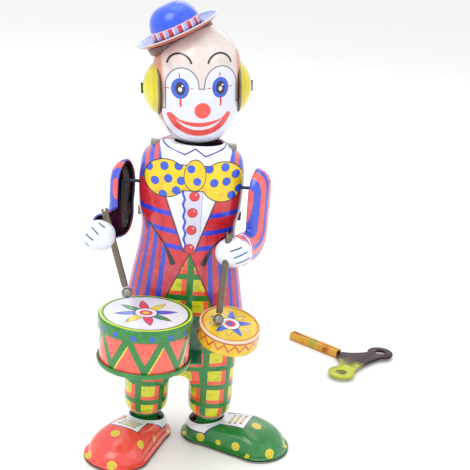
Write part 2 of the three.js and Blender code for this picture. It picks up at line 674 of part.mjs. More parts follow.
const bearings = [secondArbor, crankArbor, fanArbor, [0, rockPivot]].map((at) =>
  bar("y", at, -20, 20, arborRadius + running, 10));
const mainBearing = bar("y", mainArbor, -20, 20, mainRadius + running);
const pillarHoles = Object.values(pillars).map((at) => bar("y", at, -20, 20, pillarRadius * 0.6 + running, 8));
const pierced = (body) => cut(body, mainBearing, ...bearings, ...pillarHoles);

const ear = (side) => cut(
  block([side * 9.8 - plate / 2, frontFace - plate, axleZ - 4], [side * 9.8 + plate / 2, axleY + 2.2, axleZ + 4]),
  bar("x", axlePlace, -huge, huge, axleRadius + running, 12),
);
const frontPlate = pierced(upright(plateShape(), frontFace - plate, plate));
toy.add(mesh("clockwork_front_plate", union(frontPlate, ear(-1), ear(1)), metal.steel));
const waistBar = block([-waistReach, backFace, waistHeight - waistTab / 2],
  [waistReach, backFace + plate, waistHeight + waistTab / 2]);
const backPlate = pierced(union(upright(plateShape(), backFace, plate), waistBar));
toy.add(mesh("clockwork_back_plate", backPlate, metal.steel));

for (const [name, at] of Object.entries(pillars)) {
  const body = union(
    bar("y", at, frontFace + gap / 2, backFace - gap / 2, pillarRadius, 12),
    bar("y", at, frontFace - plate, backFace + plate, pillarRadius * 0.6, 12),
  );
  toy.add(mesh(name + "_pillar", body, metal.steel));
}

const rockerPin = bar("y", [0, rockPivot], frontFace - plate, backFace + plate, arborRadius, 14);
toy.add(mesh("rocker_pin", rockerPin, metal.steel));

// The mainspring is a flat spiral between the arbor and the pillars.
function spiral() {
  const [turns, perTurn, thickness] = [3, 14, 0.6];
  const side = (offset) => {
    const points = [];
    for (let i = 0; i <= turns * perTurn; i++) {
      const share = i / (turns * perTurn);
      const r = THREE.MathUtils.lerp(mainRadius + gap + thickness, springRadius, share) + offset;
      const angle = share * turns * 2 * Math.PI;
      points.push(new THREE.Vector2(r * Math.cos(angle), r * Math.sin(angle)));
    }
    return points;
  };
  return new THREE.Shape([...side(0), ...side(-thickness).reverse()]);
}
const spring = moved(upright(spiral(), frontFace + 2 * gap, 3.8), [mainArbor[0], 0, mainArbor[1]]);
toy.add(mesh("mainspring", spring, metal.spring));

const squareHalf = windingSquare / 2;
const [mainX, mainZ] = mainArbor;
const windingArbor = union(
  bar("y", mainArbor, frontFace - plate, backFace + plate + gap, mainRadius),
  block(
    [mainX - squareHalf, backFace, mainZ - squareHalf],
    [mainX + squareHalf, windingReach, mainZ + squareHalf],
  ),
);
toy.add(mesh("winding_arbor", windingArbor, metal.steel));

const greatFrom = 2.6;
const ratchetFrom = greatFrom + plate + 2 * running + 0.1;
const clickPlace = [mainX - 8, mainZ];
const clickStud = bar("y", clickPlace, greatFrom, ratchetFrom + plate, 0.7, 12);
const greatPhase = facing(mainArbor, secondArbor);
const greatWheel = gear(teeth.great, mainArbor, greatFrom, plate, greatPhase, mainRadius + running);
toy.add(mesh("great_wheel", union(greatWheel, clickStud), metal.brass));

function ratchetShape() {
  const points = [];
  for (let i = 0; i < teeth.ratchet; i++) {
    const angle = (i * 2 * Math.PI) / teeth.ratchet;
    for (const r of [5.2, 4.3]) points.push(new THREE.Vector2(r * Math.cos(angle), r * Math.sin(angle)));
  }
  return new THREE.Shape(points);
}
const ratchet = cut(
  moved(upright(ratchetShape(), ratchetFrom, plate), [mainX, 0, mainZ]),
  bar("y", mainArbor, -20, 20, mainRadius + running),
);
toy.add(mesh("ratchet_wheel", ratchet, metal.steel));

// The click turns on the great wheel's stud, and its nose stands just clear of the ratchet's teeth.
function clickShape() {
  const shape = new THREE.Shape();
  shape.moveTo(2.4, -2.6);
  shape.lineTo(1.5, 0.6);
  shape.absarc(0, 0, 1.5, 0.4, Math.PI, false);
  shape.lineTo(-1.3, -1.4);
  shape.lineTo(0.9, -3.8);
  return shape;
}
const click = cut(
  moved(upright(clickShape(), ratchetFrom, plate), [clickPlace[0], 0, clickPlace[1]]),
  bar("y", clickPlace, -20, 20, 0.7 + running, 12),
  bar("y", mainArbor, -20, 20, 5.2 + gap, 24),
);
toy.add(mesh("click", click, metal.steel));

// The train: each arbor carries its pinion, and the wheels are pressed on.
const arborLength = [frontFace - plate, backFace + plate];
toy.add(mesh("second_arbor", union(
  bar("y", secondArbor, ...arborLength, arborRadius),
  gear(teeth.second, secondArbor, greatFrom - 0.2, plate + 0.4, meshing(mainArbor, secondArbor, teeth.second)),
), metal.steel));
const secondFrom = 1;
const pressed = arborRadius + running;
toy.add(mesh("second_wheel",
  gear(teeth.secondWheel, secondArbor, secondFrom, plate, facing(secondArbor, crankArbor), pressed), metal.brass));
toy.add(mesh("crank_arbor", union(
  bar("y", crankArbor, ...arborLength, arborRadius),
  gear(teeth.crank, crankArbor, secondFrom - 0.2, plate + 0.4, meshing(secondArbor, crankArbor, teeth.crank)),
  bar("y", [crankArbor[0] + camThrow, crankArbor[1]], rockPlane - 0.7, rockPlane + 0.7, camRadius, 18),
), metal.steel));
const crankWheelFrom = -3.8;
toy.add(mesh("crank_wheel",
  gear(teeth.crankWheel, crankArbor, crankWheelFrom, plate, facing(crankArbor, fanArbor), pressed), metal.brass));
toy.add(mesh("fan_arbor", union(
  bar("y", fanArbor, ...arborLength, arborRadius * 0.8),
  gear(teeth.fan, fanArbor, crankWheelFrom - 0.2, plate + 0.4, meshing(crankArbor, fanArbor, teeth.fan)),
), metal.steel));
const fanFrom = frontFace + 2 * gap;
const fan = union(
  block([fanArbor[0] - 5.4, fanFrom, fanArbor[1] - 0.3], [fanArbor[0] + 5.4, fanFrom + 1.6, fanArbor[1] + 0.3]),
  bar("y", fanArbor, fanFrom, fanFrom + 1.6, 1.6, 12),
);
toy.add(mesh("fan", cut(fan, bar("y", fanArbor, -20, 20, arborRadius * 0.8 + running, 12)), metal.steel));

// ---- Key: a rolled square tube with a two-eared handle in its slit -----------------------------------------
const key = new THREE.Group();
key.position.set(...keyPlace, keyWidth / 2);
key.rotation.z = degrees(keyTurn);
toy.add(key);

const [keyOuter, keyInner] = [keyWidth / 2, keyWidth / 2 - keyWall];
const slit = 10;
const tubeBody = cut(
  block([0, -keyOuter, -keyOuter], [keyTube, keyOuter, keyOuter]),
  block([-1, -keyInner, -keyInner], [keyTube + 1, keyInner, keyInner]),
  block([-1, -keySeam / 2, 0], [keyTube + 1, keySeam / 2, keyOuter + 1]),
);

function handleShape() {
  const shape = new THREE.Shape();
  const half = keyHoleSpacing / 2;
  const [base, earX] = [keyTube + gap, keyTube + keyReach];
  const [inner, outer] = [keyInner - gap, keyOuter + 0.6];
  const [near, far] = [0.75, 0.9]; // angles where the ears' arcs meet the curved edges
  const [nearX, nearY] = [earX - keyEarRadius * Math.cos(near), half - keyEarRadius * Math.sin(near)];
  const [farX, farY] = [earX + keyEarRadius * Math.cos(far), half - keyEarRadius * Math.sin(far)];
  shape.moveTo(keyTube - slit + 1, -inner);
  shape.lineTo(base, -inner);
  shape.lineTo(base, -outer);
  shape.quadraticCurveTo(base + 6, -outer - 3, nearX, -nearY);
  shape.absarc(earX, -half, keyEarRadius, Math.PI - near, 2 * Math.PI + far, false);
  shape.quadraticCurveTo(earX + 1, 0, farX, farY);
  shape.absarc(earX, half, keyEarRadius, -far, Math.PI + near, false);
  shape.quadraticCurveTo(base + 6, outer + 3, base, outer);
  shape.lineTo(base, inner);
  shape.lineTo(keyTube - slit + 1, inner);
  for (const y of [-half, half]) {
    const hole = new THREE.Path();
    hole.absarc(earX, y, keyHoleRadius, 0, 2 * Math.PI, true);
    shape.holes.push(hole);
  }
  return shape;
}
key.add(mesh("key_tube", tubeBody, metal.zinc));
key.add(mesh("key_handle", raised(handleShape(), -keyPlate / 2, keyPlate), metal.zinc));

export default root;
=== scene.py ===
import math
import bmesh
import bpy
from mathutils import Matrix, Quaternion, Vector


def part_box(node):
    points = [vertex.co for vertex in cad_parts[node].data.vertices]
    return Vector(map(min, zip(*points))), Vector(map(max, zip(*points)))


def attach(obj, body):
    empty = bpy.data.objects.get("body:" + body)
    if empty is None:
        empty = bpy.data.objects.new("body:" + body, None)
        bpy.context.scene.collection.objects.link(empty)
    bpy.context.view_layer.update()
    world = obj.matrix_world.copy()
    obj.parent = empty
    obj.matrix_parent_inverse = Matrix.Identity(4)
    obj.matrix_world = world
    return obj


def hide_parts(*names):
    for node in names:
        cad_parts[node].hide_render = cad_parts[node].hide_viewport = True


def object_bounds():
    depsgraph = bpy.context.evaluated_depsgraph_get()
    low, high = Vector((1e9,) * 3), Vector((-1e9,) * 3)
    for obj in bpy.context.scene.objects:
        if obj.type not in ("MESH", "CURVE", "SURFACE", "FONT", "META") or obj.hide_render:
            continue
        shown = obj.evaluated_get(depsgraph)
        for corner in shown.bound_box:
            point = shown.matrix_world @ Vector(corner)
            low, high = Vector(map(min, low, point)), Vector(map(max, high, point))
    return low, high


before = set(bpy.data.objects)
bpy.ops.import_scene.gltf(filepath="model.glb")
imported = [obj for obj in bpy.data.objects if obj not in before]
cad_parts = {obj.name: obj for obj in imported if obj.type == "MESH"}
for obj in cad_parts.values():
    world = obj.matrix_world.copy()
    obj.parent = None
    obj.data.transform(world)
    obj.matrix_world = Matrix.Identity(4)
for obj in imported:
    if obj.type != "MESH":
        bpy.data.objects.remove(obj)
cadLow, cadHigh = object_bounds()
print("frame loaded:", len(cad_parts), "nodes")

# the toy is drawn in millimetres about its own centre line, and "stand" puts it in the frame
coatLow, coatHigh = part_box("coat_front")
stand = Matrix.Translation(((coatLow.x + coatHigh.x) / 2, coatHigh.y + 0.00015, 0))
tin = 0.7


def shift(x, y, z):
    return Matrix.Translation((x, y, z))


def turn(axis, angle):
    return Matrix.Rotation(math.radians(angle), 4, axis)


def mixed(a, b, share):
    return a + (b - a) * share


# shader helpers

def shade(code):
    parts = [int(code[i:i + 2], 16) / 255 for i in (0, 2, 4)]
    return (*[p / 12.92 if p < 0.04045 else ((p + 0.055) / 1.055) ** 2.4 for p in parts], 1)


class Signal:
    def __init__(self, sheet, socket):
        self.sheet = sheet
        self.socket = socket

    def join(self, operation, *others):
        values = {i: v for i, v in enumerate((self, *others))}
        return self.sheet.node("ShaderNodeMath", {"operation": operation}, values)

    def turned(self, operation, other):
        return self.sheet.node("ShaderNodeMath", {"operation": operation}, {0: other, 1: self})

    def __add__(self, other): return self.join("ADD", other)
    def __radd__(self, other): return self.join("ADD", other)
    def __sub__(self, other): return self.join("SUBTRACT", other)
    def __rsub__(self, other): return self.turned("SUBTRACT", other)
    def __mul__(self, other): return self.join("MULTIPLY", other)
    def __rmul__(self, other): return self.join("MULTIPLY", other)
    def __truediv__(self, other): return self.join("DIVIDE", other)
    def __rtruediv__(self, other): return self.turned("DIVIDE", other)
    def __mod__(self, other): return self.join("FLOORED_MODULO", other)
    def __pow__(self, other): return self.join("POWER", other)
    def __abs__(self): return self.join("ABSOLUTE")
    def __neg__(self): return self.join("MULTIPLY", -1)
    def __lt__(self, other): return self.join("LESS_THAN", other)
    def __gt__(self, other): return self.join("GREATER_THAN", other)
    def __and__(self, other): return self.join("MULTIPLY", other)
    def __or__(self, other): return self.join("MAXIMUM", other)
    def __invert__(self): return self.turned("SUBTRACT", 1)


class Finish:
    def __init__(self, name, place=Matrix.Identity(4)):
        self.material = bpy.data.materials.new(name)
        self.material.use_nodes = True
        self.tree = self.material.node_tree
        self.tree.nodes.clear()
        whole = standInMetres(place)
        where = self.node("ShaderNodeTexCoord", {}, {}, "Object")
        self.point = self.node("ShaderNodeMapping", {"vector_type": "TEXTURE"}, {
            "Vector": where, "Location": whole.to_translation(), "Rotation": whole.to_euler("XYZ"),
            "Scale": (0.001, 0.001, 0.001)})
        split = self.tree.nodes.new("ShaderNodeSeparateXYZ")
        self.tree.links.new(self.point.socket, split.inputs[0])
        self.x, self.y, self.z = [Signal(self, split.outputs[i]) for i in range(3)]

    def node(self, kind, settings, inputs, output=0):
        made = self.tree.nodes.new(kind)
        for key, value in settings.items():
            if key == "stops":
                while len(made.color_ramp.elements) < len(value):
                    made.color_ramp.elements.new(1)
                for element, (position, colour) in zip(made.color_ramp.elements, value):
                    element.position, element.color = position, colour
            elif key == "interpolation":
                made.color_ramp.interpolation = value
            else:
                setattr(made, key, value)
        for key, value in inputs.items():
            if isinstance(value, Signal):
                self.tree.links.new(value.socket, made.inputs[key])
            else:
                made.inputs[key].default_value = value
        return Signal(self, made.outputs[output])

    def vector(self, operation, *values, output=0):
        return self.node("ShaderNodeVectorMath", {"operation": operation}, dict(enumerate(values)), output)

    def over(self, below, mask, colour):
        return self.node("ShaderNodeMix", {"data_type": "RGBA"}, {0: mask, 6: below, 7: colour}, 2)

    def noise(self, scale, detail=3, roughness=0.55, stretch=None):
        point = self.vector("MULTIPLY", self.point, stretch) if stretch else self.point
        return self.node("ShaderNodeTexNoise", {}, {
            "Vector": point, "Scale": scale, "Detail": detail, "Roughness": roughness})

    # shapes on the plane of x and z, as seen from the front
    def spot(self, x, z, rx, rz=None):
        rz = rz or rx
        near = self.vector("MULTIPLY_ADD", self.flat, (1 / rx, 0, 1 / rz), (-x / rx, 0, -z / rz))
        return self.vector("LENGTH", near, output=1)

    def side(self, start, end):
        # above 0 to the left of the line from start to end
        dx, dz = end[0] - start[0], end[1] - start[1]
        size = math.hypot(dx, dz)
        way = (-dz / size, 0, dx / size)
        return self.vector("DOT_PRODUCT", self.flat, way, output=1) - (way[0] * start[0] + way[2] * start[1])

    def stroke(self, start, end):
        # distance from a straight stroke
        dx, dz = end[0] - start[0], end[1] - start[1]
        away = self.vector("SUBTRACT", self.flat, (start[0], 0, start[1]))
        size = dx * dx + dz * dz
        share = self.vector("DOT_PRODUCT", away, (dx / size, 0, dz / size), output=1)
        share = self.node("ShaderNodeClamp", {}, {0: share, 1: 0.0, 2: 1.0})
        along = self.node("ShaderNodeVectorMath", {"operation": "SCALE"}, {0: (dx, 0, dz), "Scale": share})
        return self.vector("LENGTH", self.vector("SUBTRACT", away, along), output=1)

    def ball(self, centre):
        return self.vector("DISTANCE", self.point, centre, output=1)

    def close(self, colour, roughness, metallic=0.0, coat=0.0, bump=None, depth=0.02):
        values = {"Base Color": colour, "Roughness": roughness, "Metallic": metallic, "Coat Weight": coat,
                  "Coat Roughness": 0.12}
        if bump is not None:
            values["Normal"] = self.node("ShaderNodeBump", {}, {
                "Strength": 0.5, "Distance": depth * 0.001, "Height": bump})
        shader = self.node("ShaderNodeBsdfPrincipled", {}, values)
        output = self.tree.nodes.new("ShaderNodeOutputMaterial")
        self.tree.links.new(shader.socket, output.inputs["Surface"])
        return self.material

    def printed(self, colour, relief=None):
        # lithographed tin: ink under varnish, with faint mottling, handling scuffs and a slight ripple
        mottle = self.noise(0.35, 4)
        grain = self.noise(2.2, 2)
        colour = self.over(colour, (mottle - 0.5) * 0.1 & (mottle > 0.5), shade("ffffff"))
        colour = self.over(colour, (0.5 - mottle) * 0.35 & (mottle < 0.5), shade("30282c"))
        scuff = self.noise(1.1, 5, 0.7, (0.5, 2.6, 1.7)) > 0.735
        colour = self.over(colour, scuff * 0.16, shade("b9b6b0"))
        rough = 0.2 + 0.12 * grain + 0.18 * scuff
        height = self.noise(0.12, 2) * 0.6 + grain * 0.05
        height = height + relief * 0.35 if relief is not None else height
        return self.close(colour, rough, 0.0, 0.6, height, 0.35)


def standInMetres(place):
    return stand @ Matrix.Translation(place.to_translation() * 0.001) @ place.to_quaternion().to_matrix().to_4x4()


def metal(name, tone, dark, rough=0.3, stretch=(1, 1, 1), place=Matrix.Identity(4), metallic=1.0):
    paint = Finish(name, place)
    streak = paint.noise(1.4, 4, 0.6, stretch)
    cloud = paint.noise(0.22, 3)
    colour = paint.over(shade(tone), streak * 0.7, shade(dark))
    colour = paint.over(colour, (cloud > 0.6) * 0.35, shade(dark))
    fine = paint.noise(6, 2, 0.5, stretch)
    return paint.close(colour, rough + 0.22 * streak, metallic, 0.0, fine * 0.3 + streak, 0.05)


# shape helpers

def smoothRows(rows, steps):
    # a smooth curve through the rows
    rows = [Vector(row) for row in rows]
    ends = [rows[0] * 2 - rows[1], *rows, rows[-1] * 2 - rows[-2]]
    out = []
    for i in range(1, len(ends) - 2):
        before, start, end, after = ends[i - 1:i + 3]
        for step in range(steps):
            t = step / steps
            out.append(0.5 * (2 * start + (end - before) * t + (2 * before - 5 * start + 4 * end - after) * t * t
                              + (3 * start - before - 3 * end + after) * t ** 3))
    return [*out, rows[-1]]


def skin(columns, rings, place):
    # a grid bent into shape: place(u, v) gives each point, with u and v from 0 to 1
    bm = bmesh.new()
    bmesh.ops.create_grid(bm, x_segments=columns, y_segments=rings, size=0.5)
    for vert in bm.verts:
        vert.co = place(vert.co.x + 0.5, vert.co.y + 0.5)
    bmesh.ops.remove_doubles(bm, verts=bm.verts, dist=0.004)
    bmesh.ops.recalc_face_normals(bm, faces=bm.faces)
    return bm


def power(value, exponent):
    return math.copysign(abs(value) ** exponent, value)


def loft(rows, columns, steps, squareness=2.0, extra=()):
    # oval rings of half width, half depth and height; extra rings are (centre x, radius, z)
    levels = [tuple(row) for row in smoothRows(rows, steps)]
    rings = len(levels) + len(extra) - 1

    def place(u, v):
        angle, level = u * 2 * math.pi, round(v * rings)
        across, along = math.cos(angle), math.sin(angle)
        if level >= len(levels):
            x, radius, z = extra[level - len(levels)]
            return x + radius * across, radius * along, z
        width, depth, z = levels[level]
        return width * power(across, 2 / squareness), depth * power(along, 2 / squareness), z

    return skin(columns, rings, place)


def lathe(profile, columns):
    count = len(profile) - 1

    def place(u, v):
        radius, z = profile[round(v * count)]
        return radius * math.cos(u * 2 * math.pi), radius * math.sin(u * 2 * math.pi), z

    return skin(columns, count, place)


def half(bm, y, keepFront):
    # keeps what is before or behind the plane at y
    bmesh.ops.bisect_plane(bm, geom=[*bm.verts, *bm.edges, *bm.faces], plane_co=(0, y, 0),
                           plane_no=(0, 1, 0), clear_outer=keepFront, clear_inner=not keepFront)
    return bm


def outwards(bm, centre=(0, 0, 0)):
    # turns the faces round if most of them look at the middle
    middle = Vector(centre)
    score = sum((face.calc_center_median() - middle).dot(face.normal) * face.calc_area() for face in bm.faces)
    if score < 0:
        bmesh.ops.reverse_faces(bm, faces=bm.faces)
    return bm


def finished(bm, name, body, nodes, slotName, materials, place=Matrix.Identity(4), wall=0.0, crease=35,
             inner=0):
    mesh = bpy.data.meshes.new(name)
    bm.to_mesh(mesh)
    bm.free()
    mesh.transform(stand @ Matrix.Scale(0.001, 4) @ place)
    mesh.update()
    piece = bpy.data.objects.new(name, mesh)
    bpy.context.scene.collection.objects.link(piece)
    for material in materials:
        mesh.materials.append(material)
    mesh.shade_smooth()
    mesh.set_sharp_from_angle(angle=math.radians(crease))
    if wall:
        thick = piece.modifiers.new("wall", "SOLIDIFY")
        thick.thickness, thick.offset = wall * 0.001, -1
        thick.material_offset, thick.material_offset_rim = inner, 0
    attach(piece, body)
    if nodes:
        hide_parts(*nodes)
    return piece


def refined(node, body, slotName, material, bevel=0.12):
    # a finer piece from a node's own mesh: doubles merged, flats joined and edges broken
    bm = bmesh.new()
    bm.from_mesh(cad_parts[node].data)
    bmesh.ops.transform(bm, matrix=Matrix.Scale(1000, 4) @ stand.inverted(), verts=bm.verts)
    bmesh.ops.remove_doubles(bm, verts=bm.verts, dist=0.002)
    bmesh.ops.dissolve_limit(bm, angle_limit=math.radians(2), verts=bm.verts, edges=bm.edges)
    sharp = [e for e in bm.edges if len(e.link_faces) == 2 and e.calc_face_angle() > math.radians(40)]
    bmesh.ops.bevel(bm, geom=sharp, offset=bevel, offset_type="OFFSET", segments=2, profile=0.5,
                    affect="EDGES", material=-1, clamp_overlap=True)
    return finished(bm, node + "_fine", body, [node], slotName, [material], crease=50)


def painted(node, material):
    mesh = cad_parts[node].data
    mesh.materials.clear()
    mesh.materials.append(material)


# shared finishes

cutEdge = metal("bareTin", "b9b7b0", "77746d", 0.3)
darkInside = Finish("darkInside")
gloom = darkInside.noise(0.18, 3)
darkLacquer = darkInside.close(
    darkInside.over(shade("1a0a12"), gloom > 0.55, shade("3c0e1c")), 0.16 + 0.15 * gloom, 0.55, 0.5, gloom, 0.2)
steel = metal("steel", "a9a7a1", "5f5c55", 0.24, (0.4, 0.4, 2.4))
darkSteel = metal("blackenedSteel", "26222a", "0c0a0e", 0.3)
brass = metal("brass", "c9a45a", "7d5f2a", 0.28)
stickSteel = metal("stickSteel", "8f8475", "42372c", 0.22, (0.5, 0.5, 2.6))
springSteel = metal("blueSteel", "454d60", "20242e", 0.25)
print("shared finishes made")


def plaid(paint, u, z, across, up, phase, height):
    # green bands on yellow, with a coral line to the left of and above each band
    column, row = (u - phase) % across, (z - height) % up
    wash = paint.noise(0.3, 3)
    colour = paint.over(shade("d9d414"), wash > 0.56, shade("b9c216"))
    coral = ((column > across - 3.7) & (column < across - 1.5)) | ((row > 1.3) & (row < 3.2))
    colour = paint.over(colour, coral, shade("ee5c3c"))
    deep = ((column > across - 3.7) & (column < across - 1.5)) & ((row > 1.3) & (row < 3.2))
    colour = paint.over(colour, deep, shade("e2401f"))
    green = ((column > across - 1.5) | (column < 1.5)) | ((row < 1.3) | (row > up - 1.3))
    return paint.over(colour, green, shade("187a2c"))


# coat

coatShape = {
    "rows": [(29.2, 15.6, 60), (27.8, 15.2, 68), (25.0, 14.4, 84), (22.2, 13.4, 99), (21.4, 13.4, 109),
             (22.8, 14.6, 117), (23.4, 15.4, 126), (23.3, 15.2, 134), (22.0, 13.8, 140.6), (18.4, 12.6,
                     144.2),
             (15.6, 11.9, 146.2), (13.6, 11.6, 147.2)],
    "squareness": 2.35, "neckX": 2.16, "neckRadius": 10.7, "top": 147.2,
    "stripeStep": 12.5, "stripeWidth": 5.4, "firstStripe": 26,
}


def coatPrint(back):
    paint = Finish("coatBackPrint" if back else "coatPrint")
    paint.flat = paint.vector("MULTIPLY", paint.point, (1, 0, 1))
    x, y, z = paint.x, paint.y, paint.z
    low = paint.node("ShaderNodeClamp", {}, {0: (109 - z) * 0.16, 1: 0.0, 2: 8.0})
    aslant = (abs(x) / (low + 21.6)).join("ARCTAN2", -y / (low * 0.4 + 13.2)) * (180 / math.pi)
    stripe = abs((aslant - coatShape["firstStripe"] + 90 * coatShape["stripeStep"] + coatShape["stripeStep"] / 2)
                 % coatShape["stripeStep"] - coatShape["stripeStep"] / 2) < coatShape["stripeWidth"] / 2
    if back:
        colour = paint.over(shade("d9484c"), stripe, shade("3349cf"))
        tail = (abs(x) < 0.35) & (z < 108)
        colour = paint.over(colour, tail, shade("20182a"))
        seat = (abs(z - 111) < 1.1) & (abs(x) < 16)
        colour = paint.over(colour, seat, shade("2a3bb0"))
        for place in (-9, 9):
            ring = paint.spot(place, 111, 2.2)
            colour = paint.over(colour, ring < 1, shade("e3bd1a"))
            colour = paint.over(colour, (ring > 0.8) & (ring < 1), shade("4a3a10"))
        return paint.printed(colour)
    wash = paint.noise(0.25, 3)
    skirt = paint.over(shade("bf3a46"), wash > 0.54, shade("cb4550"))
    edge = (abs(x) / (low + 21.6)) > 0.88
    skirt = paint.over(skirt, edge * 0.6, shade("ea6a60"))
    skirt = paint.over(skirt, stripe & (aslant > 22), shade("3548c8"))
    # vest: everything above the cut-away line
    cutLeft = paint.side((-10.0, 101.9), (-17.3, 111)) > 0
    lowLeft = paint.side((-6.0, 93.2), (-10.0, 101.9)) > 0
    cutRight = paint.side((20.8, 110.2), (11.2, 102.1)) > 0
    lowRight = paint.side((11.2, 102.1), (7.1, 93.4)) > 0
    outside = ((cutLeft & lowLeft) & (x < 0)) | ((cutRight & lowRight) & (x > 0))
    vest = (z > 93) & ~outside & (z < 134)
    colour = paint.over(skirt, vest, shade("cf2431"))
    fall = (abs(x - 1) - 14) * 0.13
    bands = 0.0
    for height, halfHigh in ((117.4, 1.15), (109.3, 1.1), (102.3, 1.1)):
        bands = (abs(z - fall - height) < halfHigh) | bands
    colour = paint.over(colour, bands & vest, shade("2238d6"))
    # plaid wedge
    drop = 97.8 - z
    wedge = (x > 0.9 - drop * 0.45) & (x < 1.3 + drop * 0.49) & (z < 97.8)
    rim = (x > 0.3 - drop * 0.45) & (x < 1.9 + drop * 0.49) & (z < 98.6)
    colour = paint.over(colour, rim, shade("5a1420"))
    colour = paint.over(colour, wedge, plaid(paint, x, z, 10.4, 10, 2.2, 78))
    # cut-away strokes
    colour = paint.over(colour, (paint.stroke((-17.3, 111), (-10, 101.9)) < 0.4), shade("191018"))
    colour = paint.over(colour, (paint.stroke((20.8, 110.2), (11.2, 102.1)) < 0.4), shade("191018"))
    for start, end in (((-10, 101.9), (-6.2, 94.2)), ((11.2, 102.1), (7.6, 94.4))):
        swell = paint.stroke(start, end) - (start[1] - z) * 0.11
        colour = paint.over(colour, swell < 0.4, shade("191018"))
    # shirt front
    shirt = (paint.side((-10.6, 124.9), (-1.5, 99.9)) > 0) & (paint.side((3.2, 100.2), (11.3, 125.2)) > 0)
    shirt = shirt & (z > 99.4) & (z < 132)
    shirtEdge = (paint.side((-11.2, 124.9), (-2.1, 99.3)) > 0) & (paint.side((3.8, 99.6), (11.9, 125.2)) > 0)
    colour = paint.over(colour, shirtEdge & (z > 99.1) & (z < 132), shade("54202c"))
    colour = paint.over(colour, shirt, shade("e6ebf8"))
    wave = (z * 1.15).join("SINE") * 0.35
    placket = shirt & (x > (z - 101) * -0.07 - 0.9) & (x < 5.4)
    colour = paint.over(colour, placket, shade("d3d2e6"))
    colour = paint.over(colour, shirt & (abs(x + (z - 101) * 0.07 + 1.2 + wave) < 0.55), shade("2743cc"))
    dots = shirt & (abs(x - 5.2) < 0.16) & ((z % 1.0) < 0.55)
    colour = paint.over(colour, dots, shade("5b6fb8"))
    for place in ((1.7, 125.7), (1.3, 118), (1.3, 109.7), (0.9, 100.9)):
        button = paint.spot(*place, 2.3)
        colour = paint.over(colour, button < 1, shade("7c1018"))
        colour = paint.over(colour, button < 0.86, shade("dc2030"))
        colour = paint.over(colour, paint.spot(place[0] + 0.7, place[1] + 0.8, 0.5) < 1, shade("f6a6a0"))
    # shoulders
    shoulder = (z > 131) & ((x < -13.2 + (141 - z) * 0.3) | (x > 15.9 - (141 - z) * 0.3))
    narrow = abs((x + 0.2) % 3.9 - 1.95) < 0.95
    colour = paint.over(colour, shoulder, shade("dc5a66"))
    colour = paint.over(colour, shoulder & narrow, shade("3c5bd8"))
    # collar
    collar = (z > 131) & ~shoulder
    colour = paint.over(colour, collar, shade("eef1fb"))
    points = [(-13.6, 147.2), (-10.4, 145.6), (-3.5, 143.4), (0.9, 146.0), (5.4, 143.1), (12.4, 145.8),
              (15, 147.2)]
    lines = 0.0
    for start, end in zip(points, points[1:]):
        lines = (paint.stroke(start, end) < 0.3) | lines
    colour = paint.over(colour, lines, shade("24309c"))
    # bow
    bow = 0.0
    for grow, tone in ((0.35, "20203a"), (-0.1, "efcd16")):
        bow = paint.spot(-11.4, 132.7, 9.3 + grow, 8.1 + grow) < 1
        bow = bow | (paint.spot(13.7, 132.3, 9.2 + grow, 8.7 + grow) < 1)
        bow = bow | ((abs(z - 133.6) < 5.4 + grow) & (abs(x - 1.2) < 8))
        colour = paint.over(colour, bow, shade(tone))
    blush = paint.noise(0.14, 2) > 0.55
    colour = paint.over(colour, bow & blush, shade("e2bd16"))
    dotPlaces = [(-18.9, 136.8), (-12.1, 138), (-5.9, 138.6), (-15.9, 131.2), (-10.1, 132.8), (-4.4, 132.3),
                 (-12.1, 125.6), (-6.4, 127.9), (7.4, 138), (14.3, 138.8), (19.1, 135.7), (9.9, 132),
                 (15.2, 132.6), (21, 129), (17.8, 126.4)]
    for place in dotPlaces:
        mark = paint.spot(*place, 1.85)
        colour = paint.over(colour, bow & (mark < 1), shade("2a3a8c"))
        colour = paint.over(colour, bow & (mark < 0.86), shade("2456e0"))
    knot = paint.spot(1.4, 134.8, 4.6, 6.5)
    colour = paint.over(colour, knot < 1.07, shade("20203a"))
    colour = paint.over(colour, knot < 1, shade("e9c514"))
    for place in ((-0.4, 137.6), (2.5, 132.3)):
        colour = paint.over(colour, paint.spot(*place, 1.75) < 1, shade("2456e0"))
    return paint.printed(colour, bow | (knot < 1.05))


coatExtra = [(coatShape["neckX"], coatShape["neckRadius"] + 0.5, coatShape["top"]),
             (coatShape["neckX"], coatShape["neckRadius"], coatShape["top"] - 0.5),
             (coatShape["neckX"], coatShape["neckRadius"], coatShape["top"] - 1.6)]
for front in (True, False):
    side = "front" if front else "back"
    bm = loft(coatShape["rows"], 112, 6, coatShape["squareness"], coatExtra)
    outwards(bm, (0, 0, 100))
    half(bm, -0.15 if front else 0.15, front)
    if not front:
        # the keyhole
        near = [f for f in bm.faces if math.hypot(f.calc_center_median().x,
                                                  f.calc_center_median().z - 88) < 3.9]
        bmesh.ops.delete(bm, geom=near, context="FACES")
    finished(bm, "coat_" + side + "_tin", "body", ["coat_" + side], "coat_tin",
             [coatPrint(not front), cutEdge], wall=tin, inner=1)


def strap(low, high, bevel=0.25):
    bm = bmesh.new()
    bmesh.ops.create_cube(bm, size=1)
    bmesh.ops.scale(bm, vec=[b - a for a, b in zip(low, high)], verts=bm.verts)
    bmesh.ops.translate(bm, vec=[(a + b) / 2 for a, b in zip(low, high)], verts=bm.verts)
    bmesh.ops.bevel(bm, geom=bm.edges, offset=bevel, offset_type="OFFSET", segments=3, profile=0.5,
                    affect="EDGES", material=-1)
    return bm


